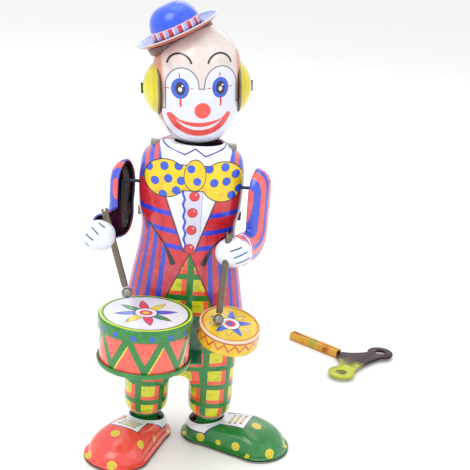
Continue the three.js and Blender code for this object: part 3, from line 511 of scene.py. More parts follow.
for side in (-1, 1):
    bm = strap((side * 17.2 - 1.8, -3.3, 146.0), (side * 17.2 + 1.8, 1.2, 146.7))
    curl = strap((side * 17.2 - 1.8, -3.4, 144.6), (side * 17.2 + 1.8, -2.5, 146.6), 0.35)
    loop = bpy.data.meshes.new("curl")
    curl.to_mesh(loop)
    curl.free()
    bm.from_mesh(loop)
    bpy.data.meshes.remove(loop)
    finished(bm, ("right" if side < 0 else "left") + "_shoulder_tab", "body", [], "steel", [steel])
print("coat made")

# trousers

trouserShape = {
    "hips": [(25.3, 9.4, 31), (25.5, 10.4, 35.6), (25.9, 11.7, 40), (26.3, 12.8, 46), (26.5, 13.1, 54),
             (26.4, 13.1, 61.2)],
    "legs": [(5.9, 5.9, 8.6), (5.9, 5.9, 10.8), (7.4, 7.6, 13), (9.7, 9.9, 16.4), (10.3, 10.8, 20),
             (10.5, 11.2, 24),
             (10.5, 11.4, 30), (10.4, 11.6, 42)],
    "spread": 15.3, "back": 1.5,
}


def trouserPrint():
    paint = Finish("trouserPlaid")
    x, y, z = paint.x, paint.y, paint.z
    legX = abs(x) - trouserShape["spread"]
    sign = x.join("SIGN")
    reach = abs(y - trouserShape["back"])
    arc = (legX * sign).join("ARCTAN2", reach) * 10.5
    hip = x - 0.8
    u = arc + (z > 42.4) * (hip - arc) + (z < 42.4) * 3.4
    colour = plaid(paint, u, z, 11.2, 9.9, 0, 41.6)
    hem = z < 14.4
    colour = paint.over(colour, hem, shade("187a2c"))
    colour = paint.over(colour, abs(z - 14.9) < 0.5, shade("ee5c3c"))
    # painted shade: the plaid is darkened along both sides of each leg, below z 34, where the tube turns away
    crease = abs(legX) > 9.2
    colour = paint.over(colour, (crease & (z < 34)) * 0.25, shade("26300c"))
    return paint.printed(colour)


plaidPaint = trouserPrint()
for front in (True, False):
    side = "front" if front else "back"
    bm = loft(trouserShape["hips"], 96, 5, 2.35)
    for vert in bm.verts:
        # the rounded arch between the legs
        arch = 5.8 * math.sqrt(max(0.0, 1 - (vert.co.x / 6.2) ** 2))
        vert.co.z += arch * max(0.0, (42 - vert.co.z) / 11)
    outwards(bm, (0, 0, 48))
    for leg in (-1, 1):
        tube = loft(trouserShape["legs"], 56, 5)
        outwards(tube, (0, 0, 25))
        bmesh.ops.translate(tube, verts=tube.verts, vec=(leg * trouserShape["spread"],
                                                         trouserShape["back"], 0))
        part = bpy.data.meshes.new("leg")
        tube.to_mesh(part)
        tube.free()
        bm.from_mesh(part)
        bpy.data.meshes.remove(part)
    half(bm, -0.15 if front else 0.15, front)
    finished(bm, "trousers_" + side + "_tin", "body", ["trousers_" + side], "plaid_tin",
             [plaidPaint, cutEdge], wall=tin, inner=1)
print("trousers made")

# shoes

shoeShape = {
    "heel": 10.4, "toe": 14.2, "reach": 26.0, "welt": 1.7, "weltLow": 1.1, "ankle": 8.6,
    "heelHeight": 10.4, "toeHeight": 13.4,
    # the collar colours are the print's contrasting colours, darkened as painted shade inside the ankle hole
    "right": {"place": (-14.6, 2.4), "turn": -26, "upper": "e8473f", "collar": "14602a", "slot": "coral_tin"},
    "left": {"place": (14.6, 3.4), "turn": 68, "upper": "12782e", "collar": "7c2a22", "slot": "green_tin"},
}


def outlineReach(angle, grow=0.0):
    # from the middle of the shoe to its outline, in the direction of the angle
    low, high = 0.0, 60.0
    heel, toe, reach = shoeShape["heel"] + grow, shoeShape["toe"] + grow, shoeShape["reach"]
    lean = math.asin((toe - heel) / reach)
    for _ in range(30):
        trial = (low + high) / 2
        x, y = trial * math.cos(angle), trial * math.sin(angle) - reach / 2
        ax, down = abs(x), -y
        # distance outside two circles joined by their tangents
        shareDown = down - ax * math.tan(lean)
        t = min(1.0, max(0.0, shareDown / reach))
        inside = math.hypot(ax, down - t * reach) < heel + (toe - heel) * t
        low, high = (trial, high) if inside else (low, trial)
    return low


def shoeSurface(x, y):
    middle = -shoeShape["reach"] / 2
    angle = math.atan2(y - middle, x)
    out = min(1.0, math.hypot(x, y - middle) / outlineReach(angle))
    t = min(1.0, max(0.0, (-y - 0.2 * shoeShape["reach"]) / (0.8 * shoeShape["reach"])))
    toward = t * t * (3 - 2 * t)
    square = mixed(4.6, 2.2, toward)
    crown = mixed(shoeShape["heelHeight"], shoeShape["toeHeight"], toward) - shoeShape["weltLow"]
    return shoeShape["weltLow"] + crown * max(0.0, 1 - out ** square) ** (1 / square)


def shoeUpper():
    rings, columns = 40, 84
    middle = -shoeShape["reach"] / 2

    def place(u, v):
        angle = u * 2 * math.pi
        reach = outlineReach(angle)
        edge = Vector((reach * math.cos(angle), middle + reach * math.sin(angle)))
        # the ankle hole's rim, matched to the outline by direction from the hole
        way = edge.copy() if edge.length > 0.1 else Vector((0, 1))
        rim = way.normalized() * shoeShape["ankle"]
        level = v * rings
        if level < 3.5:
            deep = (3 - round(level)) / 3
            ring = rim * (1 - 0.2 * deep)
            return ring.x, ring.y, shoeSurface(rim.x, rim.y) - 2.4 * deep ** 1.4 + 0.35 * (1 - deep)
        if level > rings - 4.5:
            step = round(level) - (rings - 4)
            grow, z = [(0.0, 2.2), (0.5, 1.95), (1.3, 1.9), (1.7, 1.6), (1.55, 1.1)][step]
            far = outlineReach(angle, grow)
            return far * math.cos(angle), middle + far * math.sin(angle), z
        share = (level - 3) / (rings - 7)
        share = 1 - (1 - share) ** 2.4
        share = max(share, 0.02)
        spot = rim.lerp(edge, share * 0.999)
        return spot.x, spot.y, max(2.2, shoeSurface(spot.x, spot.y))

    return skin(columns, rings, place)


def shoePrint(name, data, place):
    paint = Finish(name + "ShoePrint", place)
    x, y, z = paint.x, paint.y, paint.z
    wash = paint.noise(0.12, 3)
    colour = paint.over(shade(data["upper"]), (wash > 0.55) * 0.3,
                        shade("f0705c" if name == "right" else "1c8a3c"))
    for centre, radius in data["dots"]:
        mark = paint.ball(centre)
        ragged = mark + (paint.noise(1.6, 2) - 0.5) * 0.5
        colour = paint.over(colour, ragged < radius, shade("d7cf1e"))
        colour = paint.over(colour, ragged < radius * 0.62, shade("d9a520"))
        colour = paint.over(colour, ragged < radius * 0.36, shade("d7cf1e"))
    ring = paint.vector("LENGTH", paint.vector("MULTIPLY", paint.point, (1, 1, 0)), output=1)
    tongueWide = 5.6 + (-y - 9) * 0.12
    for grow, tone in ((0.5, "1d2c66"), (0.0, "eceff8")):
        trim = (ring < 10.9 + grow) & (z > 6.2 - grow)
        tongue = (abs(x) < tongueWide + grow) & (y < -6) & (y > -21.6 - grow) & (z > 5)
        colour = paint.over(colour, trim | tongue, shade(tone))
    for row in (-13.4, -16.2, -19.0):
        bar = (abs(y - row) < 0.62) & (z > 6)
        colour = paint.over(colour, bar & (abs(x) < 4.6), shade("15181c"))
        colour = paint.over(colour, bar & (abs(y - row) < 0.5) & (abs(x) < 3.5), shade("d8c33a"))
    # inside the ankle hole: the collar colour, given darker than the print as painted shade in the hole
    inside = (ring < shoeShape["ankle"] + 0.02) & (z > 5)
    colour = paint.over(colour, inside, shade(data["collar"]))
    return paint.printed(colour, inside)


shoeShape["right"]["dots"] = [
    ((-1.2, -27.5, 11.6), 2.2), ((11.3, -25.4, 8.7), 2.0), ((11.6, -13.4, 6.1), 1.5), ((4.3, -39.0, 2.3),
            2.3),
    ((-9.3, -36.4, 2.0), 2.4), ((11.2, 3.3, 1.9), 1.7), ((-12.4, -20, 6.5), 2.0), ((-10.2, -6, 4.4), 1.9),
    ((0, 10.4, 5), 2.0)]
shoeShape["left"]["dots"] = [
    ((-10.1, -1.4, 3.6), 2.1), ((-11.4, -11.0, 3.9), 1.4), ((-12.6, -20.2, 4.7),
                                                            2.1), ((-1.9, -26.3, 11.9), 2.3),
    ((3.2, -39.2, 3.1), 2.0), ((-9.1, -36.0, 3.4), 2.3), ((-7.7, 8.7, 1.9), 1.7), ((-14.2, -26.8, 1.9), 1.2),
    ((12.2, -18, 6.0), 2.1), ((10.8, -4, 4.2), 1.8), ((4, 10, 5), 2.0)]
for name in ("right", "left"):
    data = shoeShape[name]
    place = shift(*data["place"], 0) @ turn("Z", data["turn"])
    bm = shoeUpper()
    outwards(bm, (0, -13, 2))
    finished(bm, name + "_shoe_tin", "body", [name + "_shoe"], data["slot"],
             [shoePrint(name, data, place), cutEdge], place, wall=tin * 0.8, inner=1)
    sole = bmesh.new()
    bmesh.ops.create_circle(sole, cap_ends=True, segments=96, radius=1)
    for vert in sole.verts:
        angle = math.atan2(vert.co.y, vert.co.x)
        far = outlineReach(angle, shoeShape["welt"])
        vert.co = (far * math.cos(angle), far * math.sin(angle) - shoeShape["reach"] / 2, 0)
    raised = bmesh.ops.extrude_face_region(sole, geom=sole.faces[:], use_keep_orig=True)["geom"]
    bmesh.ops.translate(sole, vec=(0, 0, 0.8), verts=[v for v in raised if isinstance(v, bmesh.types.BMVert)])
    bmesh.ops.recalc_face_normals(sole, faces=sole.faces)
    finished(sole, name + "_sole_plate", "body", [name + "_sole"], "steel", [steel], place)
print("shoes made")

# head

headShape = {
    "rows": [(8.4, 7.6, 147.6), (11.6, 10.8, 149.9), (14.8, 14.0, 153.6), (17.4, 16.8, 158.6),
             (18.8, 18.3, 165),
             (19.3, 18.8, 173), (19.0, 18.6, 181), (17.2, 17.0, 187.6), (12.6, 12.6, 193.6), (6.8, 6.8,
                     197.8),
             (0.0, 0.0, 199.6)],
    "puffRadius": 12.0, "puffBase": 17.2, "puffCrown": 23.8, "puffHeight": 171,
}
headPlace = (shift(0, 0, 120) @ turn("Y", -2.4) @ shift(2.7, 0, 29.8) @ turn("Y", -1.8)
             @ shift(0, 0, -149.8) @ turn("Z", 7))


def facePrint(back):
    paint = Finish("headBackPrint" if back else "facePrint", headPlace)
    paint.flat = paint.vector("MULTIPLY", paint.point, (1, 0, 1))
    x, y, z = paint.x, paint.y, paint.z
    wash = paint.noise(0.09, 3)
    colour = paint.over(shade("dfd3d0"), (wash > 0.5) * 0.35, shade("cbbcae"))
    # painted shade: the skin tone darkens towards the bottom of the head, below z 188
    lowHeadShade = paint.node("ShaderNodeClamp", {}, {0: (188 - z) * 0.05, 1: 0.0, 2: 1.0})
    colour = paint.over(colour, lowHeadShade * 0.3, shade("c8bdb2"))
    fade = paint.node("ShaderNodeClamp", {}, {0: (abs(x) - 15.3) * 0.75, 1: 0.0, 2: 0.9})
    hair = fade & (z < 188) & (z > 158)
    colour = paint.over(colour, hair, shade("c8714e"))
    if back:
        nape = (z < 176 + (x * 0.9).join("SINE") * 1.1) & (z > 156)
        colour = paint.over(colour, nape * 0.9, shade("c2643f"))
        lock = abs((x + (z * 0.5).join("SINE") * 0.4) % 2.6 - 1.3) < 0.18
        colour = paint.over(colour, nape & lock, shade("8e4029"))
        return paint.printed(colour)
    # white make-up, drawn twice for its outline
    for grow, tone in ((0.28, "50505e"), (-0.12, "dcdff0")):
        mask = (paint.spot(-8.1, 173.6, 6.7 + grow, 8.0 + grow) < 1)
        mask = mask | (paint.spot(8.2, 173.9, 7.1 + grow, 8.2 + grow) < 1)
        mask = mask | ((x > -14.7 - grow) & (x < 15.3 + grow) & (z < 172.9 + grow) & (z > 160))
        jaw = paint.spot(0.7, 163.5, 17.1 + grow, 15.8 + grow) < 1
        top = (paint.side((17.6, 166.2 + grow), (-16.6, 163.9 + grow)) > 0)
        mask = mask | (jaw & top)
        colour = paint.over(colour, mask, shade(tone))
    # smile
    smile = (paint.spot(-0.9, 166.2, 14.3) < 1) & (paint.spot(-0.9, 185.6, 27.3) > 1)
    for start, end, wide in (((-13.2, 161.4), (-10.8, 159.4), 1.15),
                             ((11.5, 161.6), (9.4, 159.4), 0.95)):
        smile = (paint.stroke(start, end) < wide) | smile
    halo = (paint.spot(-0.9, 166.2, 14.6) < 1) & (paint.spot(-0.9, 185.6, 26.9) > 1)
    teeth = (paint.spot(-1, 167.1, 12.3) < 1) & (paint.spot(-1, 172.5, 16.1) > 1)
    colour = paint.over(colour, halo * 0.5, shade("eeb4b0"))
    colour = paint.over(colour, smile, shade("df3f36"))
    colour = paint.over(colour, teeth, shade("e6e4f2"))
    nose = paint.spot(0.2, 163.7, 3.45)
    colour = paint.over(colour, nose < 1, shade("e64a3c"))
    # eyes
    for centreX, centreZ in ((-9.0, 173.1), (7.9, 173.3)):
        iris = paint.spot(centreX, centreZ, 3.6, 4.35)
        colour = paint.over(colour, iris < 1, shade("1f3fb4"))
        colour = paint.over(colour, (iris < 0.9) & (iris > 0.62), shade("2f5ace"))
        colour = paint.over(colour, paint.spot(centreX, centreZ - 0.1, 1.85, 2.75) < 1, shade("070a12"))
        colour = paint.over(colour, paint.spot(centreX, centreZ - 0.4, 0.8, 0.95) < 1, shade("e8e2ee"))
        colour = paint.over(colour, paint.spot(centreX + 0.9, centreZ + 1.1, 0.42) < 1, shade("e8e2ee"))
        for start, end, wide in (((-0.2, 4.6), (-0.3, 6.2), 0.24), ((-4.2, -0.1), (-5.6, -0.1), 0.2),
                                 ((4.0, 0.0), (5.2, 0.1), 0.2), ((0.1, -4.6), (0.1, -7.4), 0.45)):
            ray = paint.stroke((centreX + start[0], centreZ + start[1]), (centreX + end[0], centreZ + end[1]))
            colour = paint.over(colour, ray < wide, shade("d33a4a"))
    for centreX, centreZ, radius, foot in ((-9.1, 182.5, 4.9, 183.3), (7.8, 182.2, 5.2, 183.3)):
        brow = abs(paint.spot(centreX, centreZ, radius) - 1) < 0.42 / radius
        colour = paint.over(colour, brow & (z > foot), shade("15131a"))
    return paint.printed(colour, nose < 1)


for front in (True, False):
    bm = loft(headShape["rows"], 96, 6)
    outwards(bm, (0, 0, 172))
    half(bm, -0.15 if front else 0.15, front)
    node = "face_shell" if front else "rear_head_shell"
    finished(bm, node + "_tin", "head", [node], "skin", [facePrint(not front), cutEdge], headPlace,
             wall=tin, inner=1)

puffPaint = Finish("puffPaint", headPlace)
puffWash = puffPaint.noise(0.16, 3)
puffAway = puffPaint.vector("MULTIPLY_ADD", puffPaint.point, (0, 1, 1), (0, 0, -headShape["puffHeight"]))
puffRing = puffPaint.vector("LENGTH", puffAway, output=1)
puffColour = puffPaint.over(shade("ddd51a"), (puffWash > 0.52) * 0.45, shade("cdb400"))
# painted shade: the yellow turns darker near the puff's rim, where the dome curves back
puffColour = puffPaint.over(puffColour, (puffRing > 9.6) * 0.5, shade("c9a60c"))
puffColour = puffPaint.over(puffColour, puffRing > 11.55, shade("6d6a50"))
puffTin = puffPaint.printed(puffColour)
for name, side in (("right", -1), ("left", 1)):
    rise = headShape["puffCrown"] - headShape["puffBase"]
    radius = (headShape["puffRadius"] ** 2 + rise ** 2) / (2 * rise)
    widest = math.asin(headShape["puffRadius"] / radius)
    profile = [(radius * math.sin(widest * (1 - i / 16)), radius * math.cos(widest * (1 - i / 16)))
               for i in range(17)]
    bm = lathe(profile, 72)
    outwards(bm)
    toSide = shift(side * (headShape["puffCrown"] - radius), 0, headShape["puffHeight"]) @ turn("Y",
            side * 90)
    finished(bm, name + "_puff_tin", "head", [name + "_hair_puff"], "yellow_tin", [puffTin, cutEdge],
             headPlace @ toSide, wall=0.6, inner=1)
    near, far = sorted((side * 23.6, side * 24.4))
    finished(strap((near, -0.75, 168.7), (far, 0.75, 173.3), 0.3), name + "_tab_bent", "head",
             [name + "_hair_tab"],
             "dark_steel", [darkSteel], headPlace)
print("head made")

# hat

hatShape = {
    "place": (-7.8, -0.4, 194.1), "tilt": -23, "radius": 11.2, "height": 12.2, "foot": 1.0,
    "bandHigh": 4.5, "bandStep": 22.5,
    "brim": [(10.7, 0.7), (13.4, 0.72), (15.6, 0.75), (17.1, 1.2), (17.9, 1.75), (18.35, 2.1), (18.75, 1.9),
             (18.72, 1.5)],
}
hatPlace = headPlace @ shift(*hatShape["place"]) @ turn("Y", hatShape["tilt"])
bowl = []
for i in range(25):
    angle = i / 24 * math.pi / 2
    bowl.append((hatShape["radius"] * max(0.0, math.cos(angle)) ** 0.7 if i < 24 else 0.0,
                 hatShape["foot"] + hatShape["height"] * math.sin(angle) ** 0.85))
crownPaint = Finish("hatCrownPaint", hatPlace)
crownAngle = crownPaint.y.join("ARCTAN2", crownPaint.x) * (180 / math.pi) + 360
crownWash = crownPaint.noise(0.15, 3)
crownColour = crownPaint.over(shade("1f55e0"), (crownWash > 0.52) * 0.4, shade("1a47cc"))
band = crownPaint.z < hatShape["bandHigh"]
share = crownAngle % hatShape["bandStep"]
bandColour = crownPaint.over(shade("b9b8d8"), share < 10.2, shade("d93444"))
bandColour = crownPaint.over(bandColour, (share > 10.2) & (share < 13.4), shade("f2f0f6"))
crownColour = crownPaint.over(crownColour, band, bandColour)
crownColour = crownPaint.over(crownColour, abs(crownPaint.z - hatShape["bandHigh"]) < 0.18, shade("e9b9c0"))
bm = lathe(bowl, 88)
outwards(bm, (0, 0, 4))
finished(bm, "hat_crown_tin", "head", ["hat_crown"], "blue_tin",
         [crownPaint.printed(crownColour, band), cutEdge],
         hatPlace, wall=tin, inner=1)
brimTop = Finish("brimTop", hatPlace)
brimRing = brimTop.vector("LENGTH", brimTop.vector("MULTIPLY", brimTop.point, (1, 1, 0)), output=1)
brimColour = brimTop.over(shade("8d9ed8"), (brimTop.noise(0.3, 3) > 0.55) * 0.5, shade("a7b3de"))
brimColour = brimTop.over(brimColour, brimRing < 12.2, shade("2d46c4"))
brimColour = brimTop.over(brimColour, brimRing > 18.3, shade("c8c6c8"))
brimUnder = Finish("brimUnder", hatPlace)
underColour = brimUnder.over(shade("c04a36"), brimUnder.noise(0.35, 3) > 0.56, shade("a94a2c"))
bm = lathe(hatShape["brim"], 96)
if sum(face.normal.z for face in bm.faces) < 0:
    bmesh.ops.reverse_faces(bm, faces=bm.faces)
finished(bm, "hat_brim_tin", "head", ["hat_brim"], "brim_tin", [brimTop.printed(brimColour),
         brimUnder.printed(underColour)], hatPlace, wall=tin, inner=1)
# the seat ring under the brim: brown tin, painted darker as shade under the brim
seatBrownShadePaint = Finish("seatBrownShadePaint", hatPlace)
seatBrownAndShade = seatBrownShadePaint.over(shade("6b3528"), seatBrownShadePaint.noise(0.5, 3) > 0.55, shade("4c261e"))
bm = lathe([(15.15, -0.35), (15.1, -1.4), (14.95, -2.6), (14.8, -3.4), (14.75, -4.0)], 72)
bmesh.ops.scale(bm, vec=(1, 0.7, 1), verts=bm.verts)
outwards(bm)
finished(bm, "hat_seat_tin", "head", ["hat_seat_ring"], "seat_tin", [seatBrownShadePaint.printed(seatBrownAndShade), cutEdge],
         hatPlace, wall=tin * 0.8)
print("hat made")

# drums

drumShape = {
    "place": (-15.8, -37.2), "radius": 20.5, "head": 79.2,
    "cap": [(0, 79.1), (9, 79.1), (17.6, 79.1), (18.2, 79.05), (18.6, 79.2), (19.3, 79.2), (19.9, 79.1),
            (20.3, 78.75), (20.48, 78.2), (20.5, 77), (20.5, 75.2), (20.45, 74.3), (20.5, 73.8)],
    "pan": [(20.5, 59.5), (20.5, 58.6), (20.45, 57.8), (20.2, 57.3), (19.7, 57.1), (9, 57.1), (0, 57.1)],
    "laceLow": 60.3, "laceHigh": 74.6, "laceStep": 45, "lacePhase": 4,
}
drumPlace = shift(*drumShape["place"], 0)


def petals(paint, radius, angle, count, inner, outer, tones):
    # a rosette of pointed petals in several colours
    step = 360 / count
    share = abs((angle % step) / step - 0.5) * 2
    petal = (radius < outer - share * (outer - inner) * 1.15) & (radius > inner * 0.55)
    rimmed = (radius < outer + 0.5 - share * (outer - inner) * 1.1) & (radius > inner * 0.55)
    turnNow = (angle / step).join("FLOOR") % len(tones)
    stops = [(i / len(tones), shade(tone)) for i, tone in enumerate(tones)]
    fill = paint.node("ShaderNodeValToRGB", {"stops": stops, "interpolation": "CONSTANT"},
                      {0: (turnNow + 0.5) / len(tones)})
    return rimmed, petal, fill


def capPrint():
    paint = Finish("drumCapPrint", drumPlace)
    x, y, z = paint.x, paint.y, paint.z
    radius = paint.vector("LENGTH", paint.vector("MULTIPLY", paint.point, (1, 1, 0)), output=1)
    angle = y.join("ARCTAN2", x) * (180 / math.pi) + 360
    skirt = paint.over(shade("147a2a"), (paint.noise(0.4, 3) > 0.55) * 0.5, shade("1b8a34"))
    spots = (abs((angle % 22.5) - 11.25) * 0.358).join("POWER", 2) + (z - 75.6).join("POWER", 2)
    skirt = paint.over(skirt, (spots < 1.5) & (radius > 20), shade("2b56c8"))
    yellowRing = (radius > 18.95) & (radius < 19.85) & (z > 78)
    colour = paint.over(skirt, yellowRing, shade("d7e022"))
    disc = (radius < 17.9) & (z > 78)
    colour = paint.over(colour, disc, shade("e6ebf6"))
    tones = ["2f5ccf", "e9d42c", "e0525a", "1d8a48"]
    rimmed, petal, fill = petals(paint, radius, angle + 12, 8, 5.2, 13.4, tones)
    colour = paint.over(colour, rimmed & disc, shade("1c2440"))
    colour = paint.over(colour, petal & disc, fill)
    for size, tone in ((5.0, "1c2440"), (4.6, "f2f3fa"), (2.9, "df4450"), (1.5, "f0cf2c")):
        colour = paint.over(colour, (radius < size) & disc, shade(tone))
    return paint.printed(colour, disc)


def lacing():
    paint = Finish("drumShellPrint", drumPlace)
    x, y, z = paint.x, paint.y, paint.z
    # 0 at the front, growing to the right
    front = x.join("ARCTAN2", -y) * (180 / math.pi) + 720 - drumShape["lacePhase"]
    share = (front % drumShape["laceStep"]) / drumShape["laceStep"]
    rising = share < 0.5
    climb = 1 - abs(share * 2 - 1)
    line = drumShape["laceLow"] + climb * (drumShape["laceHigh"] - drumShape["laceLow"])
    away = (z - line) * 0.47
    wash = paint.noise(0.3, 3)
    colour = paint.over(shade("f0604e"), (wash > 0.54) * 0.5, shade("e0503f"))
    yellowLine = rising & (away < -1.2) & (away > -1.95)
    colour = paint.over(colour, yellowLine, shade("e5e02c"))
    colour = paint.over(colour, abs(away) < 1.45, shade("177c2e"))
    # painted shade: the seam's two slots are painted black on the shell in place of dark openings; no hole is cut
    for place in (73.0, 61.6):
        hole = ((front - 61 + drumShape["lacePhase"]) % 360) * 0.34
        seamSlotShade = ((hole - 1.6).join("POWER", 2) + ((z - place) * 0.62).join("POWER", 2)) < 1.4
        colour = paint.over(colour, seamSlotShade, shade("0b0709"))
    return paint.printed(colour, abs(away) < 1.45)


bm = lathe(drumShape["cap"], 120)
outwards(bm, (0, 0, 74))
finished(bm, "drum_cap_tin", "body", ["drum_cap"], "green_tin", [capPrint(), cutEdge], drumPlace,
         wall=tin, inner=1)
bm = lathe([(19.5, 58.15 + i * 20 / 12) for i in range(13)], 120)
outwards(bm, (0, 0, 68))
finished(bm, "drum_shell_tin", "body", ["drum_shell"], "coral_tin", [lacing(), cutEdge], drumPlace,
         wall=tin, inner=1)
greenPaint = Finish("greenPaint")
greenColour = greenPaint.over(shade("147a2a"), (greenPaint.noise(0.4, 3) > 0.55) * 0.5, shade("1c8c36"))
greenTin = greenPaint.printed(greenColour)
bm = lathe(drumShape["pan"], 120)
outwards(bm, (0, 0, 59))
finished(bm, "drum_pan_tin", "body", ["drum_pan"], "green_tin", [greenTin, cutEdge], drumPlace, wall=tin,
         inner=1)

smallShape = {
    "place": (20.6, -35.2, 75.6), "lean": (12.4, 6),
    "cap": [(0, -0.08), (7, -0.08), (12.1, -0.08), (12.5, -0.0), (13.0, 0.0), (13.35, -0.2), (13.56, -0.6),
            (13.6, -1.4), (13.6, -5), (13.5, -7.0), (13.6, -7.6)],
}
smallPlace = (shift(*smallShape["place"]) @ turn("X", smallShape["lean"][0])
              @ turn("Y", smallShape["lean"][1]))


def smallPrint():
    paint = Finish("smallDrumPrint", smallPlace)
    x, y, z = paint.x, paint.y, paint.z
    radius = paint.vector("LENGTH", paint.vector("MULTIPLY", paint.point, (1, 1, 0)), output=1)
    angle = y.join("ARCTAN2", x) * (180 / math.pi) + 360
    face = z > -0.5
    wash = paint.noise(0.2, 3)
    colour = paint.over(shade("e3c11a"), (wash > 0.52) * 0.5, shade("d9a916"))
    wave = abs(((angle % 20) / 20 - 0.5) * 2)
    zigzag = abs(z + 5.3 - wave * 3.2) * 0.55 < 0.36
    colour = paint.over(colour, zigzag & (z < -1.6), shade("d2502c"))
    rimmed, petal, fill = petals(paint, radius, angle + 5, 10, 4.6, 9.2, ["2f6cd8", "e9d42c"])
    colour = paint.over(colour, rimmed & face, shade("2a48b8"))
    colour = paint.over(colour, petal & face, fill)
    for size, tone in ((4.4, "1c2440"), (4.0, "f0eef6"), (2.4, "d94450"), (1.1, "2f5ccf")):
        colour = paint.over(colour, (radius < size) & face, shade(tone))
    colour = paint.over(colour, (radius > 11.9) & (radius < 12.5) & face, shade("b03a24"))
    colour = paint.over(colour, (radius > 12.9) & (z > -1.1), shade("efc9b4"))
    colour = paint.over(colour, (radius > 13.45) & (z > -1.6) & (z < -0.9), shade("b03a24"))
    return paint.printed(colour, face)


bm = lathe(smallShape["cap"], 96)
outwards(bm, (0, 0, -5))
finished(bm, "small_drum_cap_tin", "body", ["small_drum_cap"], "yellow_tin", [smallPrint(), cutEdge],
         smallPlace,
         wall=tin, inner=1)
yellowPaint = Finish("yellowPaint", smallPlace)
yellowColour = yellowPaint.over(shade("dcb81a"), yellowPaint.noise(0.4, 3) > 0.56, shade("cfa514"))
yellowTin = yellowPaint.printed(yellowColour)
bm = lathe([(12.6, -4.4), (12.6, -6.6), (12.4, -7.2), (11.9, -7.4), (6, -7.4), (0, -7.4)], 96)
outwards(bm, (0, 0, -5))
finished(bm, "small_drum_pan_tin", "body", ["small_drum_pan"], "yellow_tin", [yellowTin, cutEdge], smallPlace,
         wall=tin, inner=1)
print("drums made")

# arms, gloves and sticks

armShape = {
    "axle": (-5.5, 128.5), "offset": 28.5, "turn": -26, "depth": 6.8, "bend": 8.3,
    "right": {"raise": -10.4381, "drop": 18.6, "dip": 12, "elbow": 27,
              "glove": (-37.4, -21.6, -22.4), "radii": (6.8, 5.8, 6.6), "grip": (-32.4, -20.6, -22.2),
              "fingers": [((0, 5.6), (2.4, 4.1)), ((-2.9, 3.8), (0, 1.2)), ((-5.1, 0.7), (-2.1, -1.5)),
                          ((-6.2, -2.6), (-4.0, -4.1))]},
    "left": {"raise": 0, "drop": 25, "dip": -6, "elbow": 34,
             "glove": (20.0, -21.7, -23.4), "radii": (8.0, 5.6, 6.4), "grip": (17.0, -24.6, -22.2),
             "fingers": [((-1.6, 2.2), (3.0, 3.9)), ((0.2, -0.6), (5.4, 1.9)), ((1.2, -3.4), (6.8, -0.9)),
                         ((4.2, -4.6), (6.8, -3.2))]},
}


def armPath(data):
    # centre, direction, inner and outer half width along the arm, in the plane of its open side
    drop, bend = data["drop"], armShape["bend"]
    sweep = math.pi / 2 - math.radians(data["dip"])
    rows = [(9.4, 0.4), (8.9, 1.7), (8.0, 3.2), (6.4, 5.0), (4.0, 6.7), (0.0, 7.9), (-5.0, 7.9),
            (-drop + bend + 1.5, 7.5), (-drop + bend, 7.4)]
    path = [(0.0, z, 0.0, wide, wide) for z, wide in rows]
    for i in range(1, 15):
        share = i / 14
        angle = sweep * share
        swell = 2.6 * math.sin(math.pi * share) ** 1.5
        path.append((-bend + bend * math.cos(angle), -drop + bend - bend * math.sin(angle), angle,
                     7.4 - 0.3 * share, 7.4 - 0.3 * share + swell))
    y, z, angle = path[-1][:3]
    for step in range(1, 11):
        wide = mixed(7.1, 6.8, step / 10)
        path.append((y - step * math.sin(angle), z - step * math.cos(angle), angle, wide, wide))
    return path


def armSkin(data, side):
    path = armPath(data)

    def place(u, v):
        y, z, angle, inner, outer = path[round(v * (len(path) - 1))]
        around = (u - 0.5) * math.pi
        across = (outer if around > 0 else inner) * math.sin(around)
        deep = armShape["depth"] * min(1.0, (inner / 7.0) ** 0.7) * max(0.0, math.cos(around)) ** 0.8
        # across the arm, towards the outside of the elbow
        return side * deep, y + across * math.cos(angle), z - across * math.sin(angle)

    return skin(40, len(path) - 1, place)


def armPrint(name, data, place):
    paint = Finish(name + "ArmPrint", place)
    x, y, z = paint.x, paint.y, paint.z
    drop, bend = data["drop"], armShape["bend"]
    inner = (-bend, -drop + bend)
    overY = (y - inner[0]).join("MAXIMUM", 0)
    overZ = (inner[1] - z).join("MAXIMUM", 0)
    out = (overY.join("POWER", 2) + overZ.join("POWER", 2)).join("SQRT")
    wash = paint.noise(0.2, 3)
    colour = paint.over(shade("e2555a"), (wash > 0.52) * 0.5, shade("ee6a5c"))
    stripe = abs((out + 0.6) % 4.7 - 2.35) < 1.0
    colour = paint.over(colour, stripe, shade("3450cc"))
    dip = math.radians(data["dip"])
    along = paint.vector("DOT_PRODUCT", paint.point, (0, -math.cos(dip), -math.sin(dip)), output=1)
    along = along - drop * math.sin(dip)
    for low, high, tone in ((12.8, 22, "e8625c"), (14.0, 14.6, "2f43b4"), (14.6, 16.0, "eceffa"),
                            (16.0, 16.6, "2f43b4")):
        colour = paint.over(colour, (along > low) & (along < high), shade(tone))
    return paint.printed(colour)


def segment(point, start, end):
    way = Vector(end) - Vector(start)
    share = min(1.0, max(0.0, (Vector(point) - Vector(start)).dot(way) / way.length_squared))
    return (Vector(point) - Vector(start) - way * share).length


